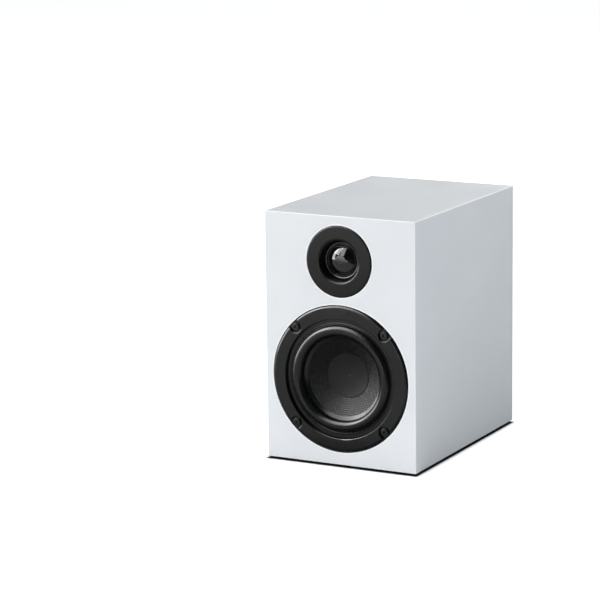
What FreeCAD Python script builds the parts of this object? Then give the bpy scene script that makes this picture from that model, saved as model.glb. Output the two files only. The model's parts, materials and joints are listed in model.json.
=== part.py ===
import FreeCAD, Part
import math
import os
import re

import Sketcher

# Two-way bookshelf loudspeaker: wrapped cabinet, 130 mm class woofer, 25 mm dome tweeter with a
# shallow waveguide, rear bass-reflex port and a pair of binding posts.
# Millimetres. +Z up, the front looks along -Y, the origin is under the middle of the whole
# speaker at the bottom of its feet. Every driver is drawn about its own axis: radius across,
# depth behind the front face of the baffle along +Y.

Vector = FreeCAD.Vector
Rotation = FreeCAD.Rotation

doc = FreeCAD.newDocument("bookshelf_speaker")
sizes = doc.addObject("Spreadsheet::Sheet", "sizes")

DRIVING_SIZES = [
    ("cabinet_width", 150, "outside width"),
    ("cabinet_height", 228, "outside height without the feet"),
    ("cabinet_depth", 215, "front face of the baffle to the rear face"),
    ("panel_thick", 12, "top, bottom and side panels"),
    ("baffle_thick", 18, "front baffle"),
    ("rear_thick", 15, "rear panel, let in between the others"),
    ("edge_round", 0.8, "softening of the outer edges"),
    ("foot_height", 2, "rubber feet"),
    ("foot_radius", 8, "rubber feet"),
    ("foot_inset", 20, "foot centre from the cabinet's outer faces"),
    ("woofer_up", 79.4, "woofer axis above the cabinet's underside"),
    ("flange_radius", 67.65, "woofer flange"),
    ("flange_thick", 5, "woofer flange"),
    ("flange_proud", 1.5, "woofer flange in front of the baffle"),
    ("flange_round", 3, "rounding of the woofer flange's outer edge"),
    ("pocket_radius", 5.2, "screw pockets in the woofer flange"),
    ("gasket_thick", 0.8, "gasket behind the woofer flange"),
    ("roll_width", 10.5, "half roll of the woofer's surround"),
    ("roll_proud", 2.2, "crest of the half roll in front of the baffle"),
    ("cone_slope", 0.576, "depth gained per millimetre toward the axis"),
    ("cone_depth", 5.04, "depth of the cone's outer edge"),
    ("cone_thick", 0.8, "cone"),
    ("cap_radius", 20.5, "dust cap"),
    ("coil_radius", 12.45, "inside of the woofer's coil former"),
    ("basket_depth", 44, "front of the woofer's magnet system"),
    ("magnet_radius", 36, "woofer magnet"),
    ("tweeter_up", 186.8, "tweeter axis above the cabinet's underside"),
    ("tweeter_radius", 32.5, "tweeter plate"),
    ("plate_round", 1.5, "rounding of the tweeter plate's outer edge"),
    ("guide_width", 3.1, "waveguide, from throat to mouth"),
    ("dome_radius", 13, "tweeter dome"),
    ("dome_base", 6, "depth of the dome's rim"),
    ("dome_height", 3.9, "dome apex in front of its rim"),
    ("port_up", 180, "port axis above the cabinet's underside"),
    ("port_radius", 17, "bore of the port"),
    ("port_length", 110, "port"),
    ("terminal_up", 60, "terminal plate centre above the cabinet's underside"),
    ("terminal_width", 84, "terminal plate"),
    ("terminal_height", 60, "terminal plate"),
    ("post_offset", 13, "binding post axis from the middle"),
    ("stud_radius", 3, "binding post stud"),
    ("socket_radius", 2.05, "4 mm banana socket"),
    ("knob_radius", 7, "binding post knob"),
    ("knob_end", 22.6, "outer end of a closed knob behind the cabinet"),
    ("lead_radius", 1.2, "internal leads"),
]

NAMES = set()
for row, (size_name, number, note) in enumerate(DRIVING_SIZES, 1):
    sizes.set(f"A{row}", note)
    sizes.set(f"B{row}", str(number))
    sizes.setAlias(f"B{row}", size_name)
    NAMES.add(size_name)

# Sizes that follow from the driving ones.
DERIVED_SIZES = [
    ("front_face", "roll_proud - (roll_proud + cabinet_depth + knob_end) / 2"),
    ("rear_face", "front_face + cabinet_depth"),
    ("woofer_axis", "foot_height + woofer_up"),
    ("tweeter_axis", "foot_height + tweeter_up"),
    ("port_axis", "foot_height + port_up"),
    ("terminal_axis", "foot_height + terminal_up"),
    ("screw_circle", "flange_radius - 5.05"),
    ("woofer_hole", "flange_radius - 9.65"),
    ("ring_inside", "flange_radius - 12.65"),
    ("roll_outside", "ring_inside - 5.5"),
    ("roll_inside", "roll_outside - roll_width"),
    ("roll_crest", "(roll_outside + roll_inside) / 2"),
    ("cone_edge", "roll_inside + 0.9"),
    ("throat_radius", "dome_radius + 4.5"),
    ("mouth_radius", "throat_radius + guide_width"),
    ("tweeter_hole", "tweeter_radius - 4.9"),
    ("tweeter_screw_circle", "tweeter_radius - 2.3"),
    ("board_depth", "rear_thick + 2"),
]
for row, (size_name, formula) in enumerate(DERIVED_SIZES, len(DRIVING_SIZES) + 1):
    sizes.set(f"B{row}", "=" + formula)
    sizes.setAlias(f"B{row}", size_name)
    NAMES.add(size_name)
doc.recompute()


# ---- helpers -------------------------------------------------------------------------------

def linked(expression):
    """Point every size name in an expression at its cell in the sheet."""
    def to_cell(word):
        return "sizes." + word[0] if word[0] in NAMES else word[0]
    return re.sub(r"[a-z][a-z_]*", to_cell, str(expression))


def value(expression):
    return float(sizes.evalExpression(linked(expression)))


def new_body(name, x=0, y=0, z=0):
    """An empty body whose own origin stands at the given place in the speaker."""
    body = doc.addObject("PartDesign::Body", name)
    body.Label = name
    body.AllowCompound = True
    for axis, distance in zip("xyz", (x, y, z)):
        if str(distance) != "0":
            body.setExpression(f"Placement.Base.{axis}", linked(distance))
    return body


def origin_part(body, role):
    return next(part for part in body.Origin.OriginFeatures if part.Role == role)


def bent_edge(start, end, axis, level):
    """The short arc from start to end with its centre at x = level or y = level."""
    middle = (start + end) * 0.5
    normal = Vector(start.y - end.y, end.x - start.x, 0)
    if axis == "x":
        centre = middle + normal * ((level - middle.x) / normal.x)
    else:
        centre = middle + normal * ((level - middle.y) / normal.y)
    first, last = start - centre, end - centre
    circle = Part.Circle(centre, Vector(0, 0, 1), first.Length)
    first_angle = math.atan2(first.y, first.x)
    last_angle = math.atan2(last.y, last.x)
    if first.cross(last).z > 0:
        return Part.ArcOfCircle(circle, first_angle, last_angle), 1, 2
    return Part.ArcOfCircle(circle, last_angle, first_angle), 2, 1


def pin(sketch, edge, point, across, along):
    """Tie one point of a sketch to the sheet."""
    for kind, distance in (("DistanceX", across), ("DistanceY", along)):
        if distance is None:
            continue
        row = sketch.addConstraint(Sketcher.Constraint(kind, -1, 1, edge, point, value(distance)))
        if re.search("[a-z]", str(distance)):
            sketch.setExpression(f"Constraints[{row}]", linked(distance))


def draw_circle(sketch, across, along, radius):
    centre = Vector(value(across), value(along), 0)
    edge = sketch.addGeometry(Part.Circle(centre, Vector(0, 0, 1), value(radius)))
    pin(sketch, edge, 3, across, along)
    row = sketch.addConstraint(Sketcher.Constraint("Radius", edge, value(radius)))
    if re.search("[a-z]", str(radius)):
        sketch.setExpression(f"Constraints[{row}]", linked(radius))


def draw_outline(sketch, corners):
    """Draw a closed outline. A corner (x, y, "x" or "y", level) starts an arc to the next corner
    whose centre lies at that x or y; a corner (x, y) starts a straight edge."""
    spots = [Vector(value(corner[0]), value(corner[1]), 0) for corner in corners]
    edges = []
    for index, corner in enumerate(corners):
        start, end = spots[index], spots[(index + 1) % len(spots)]
        shape, first, last = Part.LineSegment(start, end), 1, 2
        if len(corner) == 4:
            shape, first, last = bent_edge(start, end, corner[2], value(corner[3]))
        edges.append((sketch.addGeometry(shape), first, last))
    for index, corner in enumerate(corners):
        edge, first, last = edges[index]
        following, following_first, _ = edges[(index + 1) % len(edges)]
        sketch.addConstraint(Sketcher.Constraint("Coincident", edge, last, following, following_first))
        pin(sketch, edge, first, corner[0], corner[1])
        if len(corner) == 4 and corner[2] == "x":
            pin(sketch, edge, 3, corner[3], None)
        elif len(corner) == 4:
            pin(sketch, edge, 3, None, corner[3])


def new_sketch(body, name, plane, outlines, offset=0, turn=0):
    """A sketch on one of the body's own planes; circles are given as (x, y, radius)."""
    sketch = body.newObject("Sketcher::SketchObject", f"{body.Name}_{name}_sketch")
    sketch.AttachmentSupport = (origin_part(body, plane), [""])
    sketch.MapMode = "FlatFace"
    sketch.AttachmentOffset = FreeCAD.Placement(Vector(), Rotation(Vector(0, 0, 1), turn))
    if str(offset) != "0":
        sketch.setExpression("AttachmentOffset.Base.z", linked(offset))
    for outline in outlines:
        if isinstance(outline, tuple):
            draw_circle(sketch, *outline)
        else:
            draw_outline(sketch, outline)
    return sketch


def solid_feature(body, kind, name, sketch, length, backward):
    feature = body.newObject(kind, f"{body.Name}_{name}")
    feature.Profile = sketch
    feature.Length = value(length)
    feature.setExpression("Length", linked(length))
    feature.Reversed = backward
    sketch.Visibility = False
    return feature


def front_pad(body, name, outlines, start, end, turn=0):
    """Add material between two depths, from outlines seen from the front."""
    sketch = new_sketch(body, name, "XZ_Plane", outlines, f"-({start})", turn)
    return solid_feature(body, "PartDesign::Pad", name, sketch, f"({end}) - ({start})", True)


def front_cut(body, name, outlines, start, end, turn=0):
    """Take material away between two depths."""
    sketch = new_sketch(body, name, "XZ_Plane", outlines, f"-({start})", turn)
    return solid_feature(body, "PartDesign::Pocket", name, sketch, f"({end}) - ({start})", False)


def side_pad(body, name, outlines, start, end):
    """Add material between two positions across the speaker, from outlines seen from the side."""
    sketch = new_sketch(body, name, "YZ_Plane", outlines, start)
    return solid_feature(body, "PartDesign::Pad", name, sketch, f"({end}) - ({start})", False)


def side_cut(body, name, outlines, start, end):
    sketch = new_sketch(body, name, "YZ_Plane", outlines, start)
    return solid_feature(body, "PartDesign::Pocket", name, sketch, f"({end}) - ({start})", True)


def turned(body, name, outlines):
    """Revolve (radius, depth) outlines about the body's own depth axis."""
    sketch = new_sketch(body, name, "XY_Plane", outlines)
    feature = body.newObject("PartDesign::Revolution", f"{body.Name}_{name}")
    feature.Profile = sketch
    feature.ReferenceAxis = (sketch, ["V_Axis"])
    feature.Angle = 360
    sketch.Visibility = False
    return feature


def repeat_around(body, features, count):
    pattern = body.newObject("PartDesign::PolarPattern", f"{body.Name}_pattern_{features[0].Name}")
    pattern.Originals = features
    pattern.Axis = (origin_part(body, "Y_Axis"), [""])
    pattern.Angle = 360
    pattern.Occurrences = count
    body.Tip = pattern
    return pattern


def round_edges(body, radius, chosen):
    """Fillet the edges of the body's present shape for which chosen(edge) is true."""
    doc.recompute()
    tip = body.Tip
    names = [f"Edge{i}" for i, edge in enumerate(tip.Shape.Edges, 1) if chosen(edge)]
    fillet = body.newObject("PartDesign::Fillet", f"{body.Name}_rounding_{len(body.Group)}")
    fillet.Base = (tip, names)
    fillet.Radius = value(radius)
    fillet.setExpression("Radius", linked(radius))
    body.Tip = fillet
    return fillet


def lies_at_depth(edge, depth):
    box = edge.BoundBox
    return abs(box.YMin - depth) < 1e-4 and abs(box.YMax - depth) < 1e-4


def rectangle(left, bottom, right, top):
    return [(left, bottom), (right, bottom), (right, top), (left, top)]


def rounded_rectangle(left, bottom, right, top, radius):
    left_in, right_in = f"({left}) + ({radius})", f"({right}) - ({radius})"
    bottom_in, top_in = f"({bottom}) + ({radius})", f"({top}) - ({radius})"
    return [
        (left_in, bottom), (right_in, bottom, "x", right_in),
        (right, bottom_in), (right, top_in, "x", right_in),
        (right_in, top), (left_in, top, "x", left_in),
        (left, top_in), (left, bottom_in, "x", left_in),
    ]


def polygon(across, along, radius, count, first_angle=0):
    corners = []
    for index in range(count):
        angle = math.radians(first_angle + 360 * index / count)
        corners.append((f"({across}) + ({radius}) * ({math.cos(angle):.6f})",
                        f"({along}) + ({radius}) * ({math.sin(angle):.6f})"))
    return corners


def circle_of(count, ring_radius, radius, first_angle=45):
    """Equal circles on a ring."""
    return [(across, along, radius)
            for across, along in polygon("0", "0", ring_radius, count, first_angle)]


def four_of(across, along, radius):
    """Equal circles at the corners of a rectangle."""
    return [(f"{i} * ({across})", f"{j} * ({along})", radius) for i in (-1, 1) for j in (-1, 1)]


def rounded_route(spots):
    """A wire of straight runs joined by tangent arcs through the middle of each corner."""
    spots = [Vector(*[value(number) for number in spot]) for spot in spots]
    edges = []
    begin = spots[0]
    for before, corner, after in zip(spots, spots[1:], spots[2:]):
        run_in, run_out = corner - before, after - corner
        setback = 0.45 * min(run_in.Length, run_out.Length)
        toward, away = Vector(run_in).normalize(), Vector(run_out).normalize()
        half_turn = toward.getAngle(away) / 2
        arc_start, arc_end = corner - toward * setback, corner + away * setback
        radius = setback / math.tan(half_turn)
        to_centre = (away - toward).normalize()
        centre = corner + to_centre * (radius / math.cos(half_turn))
        arc_middle = centre - to_centre * radius
        edges.append(Part.LineSegment(begin, arc_start).toShape())
        edges.append(Part.Arc(arc_start, arc_middle, arc_end).toShape())
        begin = arc_end
    edges.append(Part.LineSegment(begin, spots[-1]).toShape())
    return Part.Wire(edges)


def round_cord(spots, radius):
    """A round cord swept along a route."""
    route = rounded_route(spots)
    first = route.Edges[0]
    start = first.valueAt(first.FirstParameter)
    along = first.tangentAt(first.FirstParameter)
    section = Part.Wire([Part.Circle(start, along, value(radius)).toShape()])
    return route.makePipeShell([section], True, True)


def shape_object(name, solids, x=0, y=0, z=0):
    holder = doc.addObject("Part::Feature", name)
    holder.Label = name
    holder.Shape = solids[0] if len(solids) == 1 else Part.makeCompound(solids)
    holder.Placement = FreeCAD.Placement(Vector(value(x), value(y), value(z)), Rotation())
    return holder


# ---- cabinet -------------------------------------------------------------------------------

HALF = "cabinet_width / 2"


def cabinet_body(name):
    return new_body(name, 0, "front_face", "foot_height")


def front_baffle():
    """Full-size front with a rebate and a cut-out for each driver."""
    body = cabinet_body("front_baffle")
    outline = rounded_rectangle(f"-{HALF}", "0", HALF, "cabinet_height", "edge_round")
    front_pad(body, "board", [outline], "0", "baffle_thick")
    front_cut(body, "woofer_rebate", [("0", "woofer_up", "flange_radius + 0.25")],
              "0", "flange_thick - flange_proud + gasket_thick")
    front_cut(body, "woofer_hole", [("0", "woofer_up", "woofer_hole")], "0", "baffle_thick")
    front_cut(body, "tweeter_rebate", [("0", "tweeter_up", "tweeter_radius + 0.2")], "0", "5.4")
    front_cut(body, "tweeter_hole", [("0", "tweeter_up", "tweeter_hole")], "0", "baffle_thick")
    pilots = [(x, f"woofer_up + {z}", r) for x, z, r in circle_of(4, "screw_circle", "1.9")]
    front_cut(body, "woofer_pilots", pilots, "0", "baffle_thick - 2")
    pilots = [(x, f"tweeter_up + {z}", r) for x, z, r in circle_of(4, "tweeter_screw_circle", "1.3")]
    front_cut(body, "tweeter_pilots", pilots, "0", "baffle_thick - 4")
    left, right = -value(HALF), value(HALF)
    bottom, top = 0, value("cabinet_height")

    def on_rim(edge):
        box = edge.BoundBox
        reaches = (box.XMin < left + 1, box.XMax > right - 1, box.ZMin < bottom + 1, box.ZMax > top - 1)
        return lies_at_depth(edge, 0) and any(reaches)
    round_edges(body, "edge_round", on_rim)


def wrap_panels():
    """Top, bottom and sides, mitred where they meet."""
    corner = f"edge_round * {1 - math.sqrt(0.5):.6f}"
    for name, side in (("cabinet_left_side", "-1"), ("cabinet_right_side", "1")):
        body = cabinet_body(name)
        edge, near = f"{side} * {HALF}", f"{side} * ({HALF} - edge_round)"
        mitre, inside = f"{side} * ({HALF} - {corner})", f"{side} * ({HALF} - panel_thick)"
        outline = [
            (mitre, corner, "x", near), (edge, "edge_round"),
            (edge, "cabinet_height - edge_round", "x", near), (mitre, f"cabinet_height - {corner}"),
            (inside, "cabinet_height - panel_thick"), (inside, "panel_thick"),
        ]
        front_pad(body, "board", [outline], "baffle_thick", "cabinet_depth")
    near, mitre = f"{HALF} - edge_round", f"{HALF} - {corner}"
    inside = f"{HALF} - panel_thick"
    for name, level, bend, joint, inner in (
            ("cabinet_bottom", "0", "edge_round", corner, "panel_thick"),
            ("cabinet_top", "cabinet_height", "cabinet_height - edge_round",
             f"cabinet_height - {corner}", "cabinet_height - panel_thick")):
        body = cabinet_body(name)
        outline = [
            (f"-({mitre})", joint, "y", bend), (f"-({near})", level),
            (near, level, "y", bend), (mitre, joint),
            (inside, inner), (f"-({inside})", inner),
        ]
        front_pad(body, "board", [outline], "baffle_thick", "cabinet_depth")


def rear_panel():
    """Let in between the wrap panels, with the port hole and the terminal cut-out."""
    body = cabinet_body("rear_panel")
    inside = f"{HALF} - panel_thick"
    face = "cabinet_depth"
    outline = rectangle(f"-({inside})", "panel_thick", inside, "cabinet_height - panel_thick")
    front_pad(body, "board", [outline], "cabinet_depth - rear_thick", face)
    front_cut(body, "port_hole", [("0", "port_up", "port_radius + 6.8")],
              "cabinet_depth - rear_thick", face)
    front_cut(body, "port_rebate", [("0", "port_up", "port_radius + 13.2")],
              "cabinet_depth - 2", face)
    half_width, half_height = "terminal_width / 2 - 8.5", "terminal_height / 2 - 8.5"
    opening = rounded_rectangle(f"-({half_width})", f"terminal_up - ({half_height})",
                                half_width, f"terminal_up + {half_height}", "4")
    front_cut(body, "terminal_opening", [opening], "cabinet_depth - rear_thick", face)
    holes = [(x, f"terminal_up + {z}", r) for x, z, r in
             four_of("terminal_width / 2 - 5", "terminal_height / 2 - 5", "1.6")]
    front_cut(body, "terminal_pilots", holes, "cabinet_depth - rear_thick + 3", face)


def rubber_feet():
    body = new_body("rubber_feet")
    reach = "cabinet_depth / 2 - foot_inset"
    middle = "front_face + cabinet_depth / 2"
    circles = [(x, f"{middle} + {y}", r) for x, y, r in
               four_of(f"{HALF} - foot_inset", reach, "foot_radius")]
    sketch = new_sketch(body, "discs", "XY_Plane", circles)
    solid_feature(body, "PartDesign::Pad", "discs", sketch, "foot_height", False)
    round_edges(body, "0.5", lambda edge: edge.BoundBox.ZMax < 1e-4)


def port_tube():
    """Tube with a flared mouth; its flange sits in the rear panel's rebate."""
    body = new_body("port_tube", 0, "rear_face", "port_axis")
    turned(body, "section", [[
        ("port_radius", "1 - port_length"), ("port_radius + 2.5", "1 - port_length"),
        ("port_radius + 2.5", "-11"), ("port_radius + 6.5", "-4"),
        ("port_radius + 6.5", "-2"), ("port_radius + 13", "-2"),
        ("port_radius + 13", "0.2", "x", "port_radius + 12.2"), ("port_radius + 12.2", "1"),
        ("port_radius + 10", "1", "x", "port_radius + 10"), ("port_radius", "-9"),
    ]])


def damping_foam():
    """Foam sheets on both side walls and under the top."""
    body = cabinet_body("damping_foam")
    wall, ceiling = f"{HALF} - panel_thick", "cabinet_height - panel_thick"
    front, rear = "baffle_thick + 22", "cabinet_depth - rear_thick - 8"
    left = rectangle(f"-({wall})", "30", f"-({wall}) + 10", f"{ceiling} - 26")
    right = rectangle(f"{wall} - 10", "30", wall, f"{ceiling} - 26")
    top = rectangle(f"-({wall}) + 10", f"{ceiling} - 8", f"{wall} - 10", ceiling)
    front_pad(body, "sheets", [left, right, top], front, rear)


# ---- woofer --------------------------------------------------------------------------------

def woofer_body(name):
    return new_body(name, 0, "front_face", "woofer_axis")


def cone_face(radius, behind="0"):
    """Depth of the cone's front face at a radius, or of a surface that far behind it."""
    return f"cone_depth + cone_slope * (cone_edge - ({radius})) + {behind}"


def woofer_frame():
    """Flange with four screw pockets, six-legged basket, spider landing and magnet seat."""
    body = woofer_body("woofer_frame")
    turned(body, "section", [[
        ("ring_inside + 0.8", "-flange_proud", "x", "ring_inside + 0.8"),
        ("ring_inside", "0.8 - flange_proud"),
        ("ring_inside", "3"), ("roll_outside + 0.2", "3"), ("roll_outside + 0.2", "5"),
        ("ring_inside - 0.8", "7.4"), ("magnet_radius + 0.5", "29.6"), ("magnet_radius + 0.5", "30"),
        ("magnet_radius - 4", "30"), ("magnet_radius - 4", "basket_depth - 2.5"),
        ("coil_radius + 3.2", "basket_depth - 2.5"), ("coil_radius + 3.2", "basket_depth"),
        ("magnet_radius + 3", "basket_depth"), ("magnet_radius + 3", "30"),
        ("woofer_hole - 0.6", "7"), ("woofer_hole - 0.6", "flange_thick - flange_proud"),
        ("flange_radius", "flange_thick - flange_proud"),
        ("flange_radius", "flange_round - flange_proud", "x", "flange_radius - flange_round"),
        ("flange_radius - flange_round", "-flange_proud"),
    ]])
    inner, outer, half = "screw_circle - pocket_radius", "flange_radius + 2", "pocket_radius"
    pocket = [("screw_circle", half, "x", "screw_circle"), (inner, "0", "x", "screw_circle"),
              ("screw_circle", f"-{half}"), (outer, f"-{half}"), (outer, half)]
    floor = "flange_thick - flange_proud - 2.5"
    pocket_cut = front_cut(body, "screw_pocket", [pocket], "-flange_proud - 1", floor, 45)
    hole_cut = front_cut(body, "screw_hole", [("screw_circle", "0", "2.3")],
                         "0", "flange_thick", 45)
    repeat_around(body, [pocket_cut, hole_cut], 4)
    near, far, spread = "magnet_radius + 1", "woofer_hole - 3.6", math.tan(math.radians(20))
    window = [(near, f"-({near}) * {spread:.4f}"), (far, f"-({far}) * {spread:.4f}"),
              (far, f"({far}) * {spread:.4f}"), (near, f"({near}) * {spread:.4f}")]
    window_cut = front_cut(body, "window", [window], "8", "29", 90)
    repeat_around(body, [window_cut], 6)
    seat = rectangle("-12", "-magnet_radius - 5", "12", "-magnet_radius - 1")
    front_pad(body, "terminal_seat", [seat], "32", "42")
    front = value("-flange_proud")
    centre_line = value("screw_circle")

    def on_pocket_rim(edge):
        """Pocket edges in the flange's front face."""
        if not lies_at_depth(edge, front):
            return False
        middle = edge.valueAt((edge.FirstParameter + edge.LastParameter) / 2)
        reach = math.hypot(abs(middle.x) - centre_line / math.sqrt(2),
                           abs(middle.z) - centre_line / math.sqrt(2))
        return reach < value("pocket_radius") + 0.8
    round_edges(body, "1", on_pocket_rim)


def woofer_gasket():
    body = woofer_body("woofer_gasket")
    front_pad(body, "ring", [("0", "0", "flange_radius - 0.6"), ("0", "0", "woofer_hole + 0.4")],
              "flange_thick - flange_proud", "flange_thick - flange_proud + gasket_thick")
    front_cut(body, "screw_holes", circle_of(4, "screw_circle", "2.3"),
              "0", "flange_thick - flange_proud + gasket_thick")


def woofer_screws():
    """Cap screws with hexagon sockets, seated on the pocket floors."""
    body = woofer_body("woofer_screws")
    floor = "flange_thick - flange_proud - 2.5"
    head_top = f"{floor} - 2.3"
    front_pad(body, "heads", circle_of(4, "screw_circle", "3.5"), head_top, floor)
    front_pad(body, "shanks", circle_of(4, "screw_circle", "1.85"), floor, "baffle_thick - 3")
    sockets = [polygon(x, z, "1.45", 6) for x, z, _ in circle_of(4, "screw_circle", "1")]
    front_cut(body, "sockets", sockets, head_top, f"{head_top} + 1.4")
    top = value(head_top)

    def on_head_rim(edge):
        return lies_at_depth(edge, top) and edge.BoundBox.XLength > 6
    round_edges(body, "0.5", on_head_rim)


def woofer_surround():
    """Flat outer lip, half roll, and an inner lip glued to the cone's edge."""
    body = woofer_body("woofer_surround")
    lip_end = "cone_edge - 4.2"
    turned(body, "section", [[
        ("ring_inside - 0.3", "2"), ("roll_outside", "2", "x", "roll_crest"),
        ("roll_crest", "-roll_proud", "x", "roll_crest"), ("roll_inside", "5"),
        (lip_end, cone_face(lip_end, "-0.6")), (lip_end, cone_face(lip_end, "-0.05")),
        ("roll_inside + 0.5", cone_face("roll_inside + 0.5", "-0.05"), "x", "roll_crest"),
        ("roll_crest", "0.7 - roll_proud", "x", "roll_crest"),
        ("roll_outside - 0.7", "2.9"), ("roll_outside - 0.7", "3"), ("ring_inside - 0.3", "3"),
    ]])


def woofer_cone():
    body = woofer_body("woofer_cone")
    neck = "coil_radius + 0.38"
    turned(body, "section", [[
        ("cone_edge", cone_face("cone_edge")), ("cone_edge", cone_face("cone_edge", "cone_thick")),
        (neck, cone_face(neck, "cone_thick")), (neck, cone_face(neck)),
    ]])


def woofer_dust_cap():
    """Shallow inward dish with a thin lip, glued to the cone's face."""
    body = woofer_body("woofer_dust_cap")
    lip, inside = "cap_radius", "cap_radius - 0.9"
    face = cone_face(lip)
    dish = f"{face} + 2.4"
    turned(body, "section", [[
        ("0", dish, "x", "0"), (inside, f"{face} - 0.3"), (lip, f"{face} - 0.4"),
        (lip, f"{face} - 0.05"), (inside, cone_face(inside, "-0.05"), "x", "0"),
        ("0", f"{dish} + 0.7"),
    ]])


def coil_former():
    body = woofer_body("woofer_coil_former")
    start = cone_face("coil_radius + 0.35")
    turned(body, "section", [[
        ("coil_radius", start), ("coil_radius + 0.35", start),
        ("coil_radius + 0.35", "basket_depth + 8"), ("coil_radius", "basket_depth + 8"),
    ]])


def coil_winding():
    body = woofer_body("woofer_coil_winding")
    turned(body, "section", [[
        ("coil_radius + 0.35", "basket_depth - 2"), ("coil_radius + 1.05", "basket_depth - 2"),
        ("coil_radius + 1.05", "basket_depth + 7"), ("coil_radius + 0.35", "basket_depth + 7"),
    ]])


def woofer_spider():
    """Corrugated disc between the coil former and the landing in the basket."""
    body = woofer_body("woofer_spider")
    rings = 4
    bore, rim = "coil_radius + 0.35", "magnet_radius - 3.2"
    face, thick = 29.2, 0.6
    front, back = [], []
    for index in range(rings * 2 + 1):
        share = index / (rings * 2)
        radius = f"{bore} + 1.2 + ({rim} - ({bore}) - 1.4) * {share:.4f}"
        swing = 0 if index in (0, rings * 2) else (-0.9 if index % 2 else 0.9)
        front.append((radius, str(face + swing)))
        back.append((radius, str(face + thick + swing)))
    outline = [(bore, str(face)), *front, ("magnet_radius", str(face + 0.2)),
               ("magnet_radius", "30"), (rim, "30"), *reversed(back), (bore, str(face + thick))]
    turned(body, "section", [outline])


def woofer_motor():
    """Top plate, ring magnet, and the yoke with its pole piece."""
    front_plate = woofer_body("woofer_top_plate")
    front_pad(front_plate, "ring", [("0", "0", "magnet_radius - 2"), ("0", "0", "coil_radius + 1.45")],
              "basket_depth", "basket_depth + 5")
    magnet = woofer_body("woofer_magnet")
    front_pad(magnet, "ring", [("0", "0", "magnet_radius"), ("0", "0", "coil_radius + 6.5")],
              "basket_depth + 5", "basket_depth + 19")
    round_edges(magnet, "1", lambda edge: edge.BoundBox.XLength > value("magnet_radius * 1.9")
                and edge.BoundBox.YLength < 1e-4)
    yoke = woofer_body("woofer_yoke")
    front_pad(yoke, "plate", [("0", "0", "magnet_radius - 2")], "basket_depth + 19", "basket_depth + 24")
    front_pad(yoke, "pole", [("0", "0", "coil_radius - 0.45")], "basket_depth", "basket_depth + 19")
    front_cut(yoke, "vent", [("0", "0", "4")], "basket_depth", "basket_depth + 24")


def woofer_terminals():
    """Insulating board under the basket that carries the tabs."""
    body = woofer_body("woofer_terminal_board")
    board = rectangle("-12", "-magnet_radius - 6.6", "12", "-magnet_radius - 5")
    front_pad(body, "board", [board], "24", "44")


def tinsel_leads():
    """Flexible leads from the terminal board, through a basket window, to the cone."""
    top = "-magnet_radius - 5.6"
    solids = []
    for side in (-1, 1):
        spots = [
            (7 * side, "23.5", top), (7 * side, "20.5", "-magnet_radius - 3"),
            (6.5 * side, "19.5", "-magnet_radius + 4"),
            (6 * side, cone_face("25", "cone_thick + 0.7"), "-24.3"),
        ]
        solids.append(round_cord(spots, "0.6"))
    shape_object("woofer_tinsel_leads", solids, 0, "front_face", "woofer_axis")


# ---- tweeter -------------------------------------------------------------------------------

def tweeter_body(name):
    return new_body(name, 0, "front_face", "tweeter_axis")


def tweeter_cover():
    """Snap-on front ring with a soft-shouldered, steep-walled waveguide."""
    body = tweeter_body("tweeter_cover")
    turned(body, "section", [[
        ("mouth_radius + 0.7", "-0.8", "x", "mouth_radius + 0.7"), ("mouth_radius - 2.2", "1.4"),
        ("throat_radius", "6.6"), ("throat_radius + 1.8", "6.6"),
        ("mouth_radius + 1.6", "1.4"), ("tweeter_radius", "1.4"),
        ("tweeter_radius", "plate_round - 0.8", "x", "tweeter_radius - plate_round"),
        ("tweeter_radius - plate_round", "-0.8"),
    ]])


def tweeter_chassis():
    """Mounting plate behind the cover with a stepped seat for the suspension."""
    body = tweeter_body("tweeter_chassis")
    turned(body, "section", [[
        ("tweeter_radius", "1.4"), ("tweeter_radius", "5.4"), ("mouth_radius + 3.4", "5.4"),
        ("mouth_radius + 3.4", "9"), ("dome_radius + 2.2", "9"), ("dome_radius + 2.2", "7.6"),
        ("mouth_radius + 1.8", "7.6"), ("mouth_radius + 1.8", "1.4"),
    ]])
    front_cut(body, "screw_holes", circle_of(4, "tweeter_screw_circle", "1.5"), "1.4", "5.4")
    front_cut(body, "screw_sinks", circle_of(4, "tweeter_screw_circle", "2.2"), "1.4", "3")


def tweeter_screws():
    body = tweeter_body("tweeter_screws")
    front_pad(body, "heads", circle_of(4, "tweeter_screw_circle", "2"), "1.6", "3")
    front_pad(body, "shanks", circle_of(4, "tweeter_screw_circle", "1.25"), "3", "baffle_thick - 5")


def tweeter_dome():
    """Domed ring round a nearly flat centre disc."""
    body = tweeter_body("tweeter_dome")
    apex, disc = "dome_base - dome_height", "dome_radius - 7.6"
    turned(body, "section", [[
        ("0", apex, "x", "0"), (disc, f"{apex} + 0.15", "x", "0"), ("dome_radius", "dome_base"),
        ("dome_radius", "dome_base + 0.4"), ("dome_radius - 0.5", "dome_base + 0.4", "x", "0"),
        (disc, f"{apex} + 0.55", "x", "0"), ("0", f"{apex} + 0.4"),
    ]])


def tweeter_coil():
    """Voice coil on its former, glued under the rim of the dome."""
    body = tweeter_body("tweeter_voice_coil")
    turned(body, "section", [[
        ("dome_radius - 0.5", "dome_base + 0.4"), ("dome_radius - 0.2", "dome_base + 0.4"),
        ("dome_radius - 0.2", "9.6"), ("dome_radius + 0.15", "9.6"),
        ("dome_radius + 0.15", "12"), ("dome_radius - 0.5", "12"),
    ]])


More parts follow.
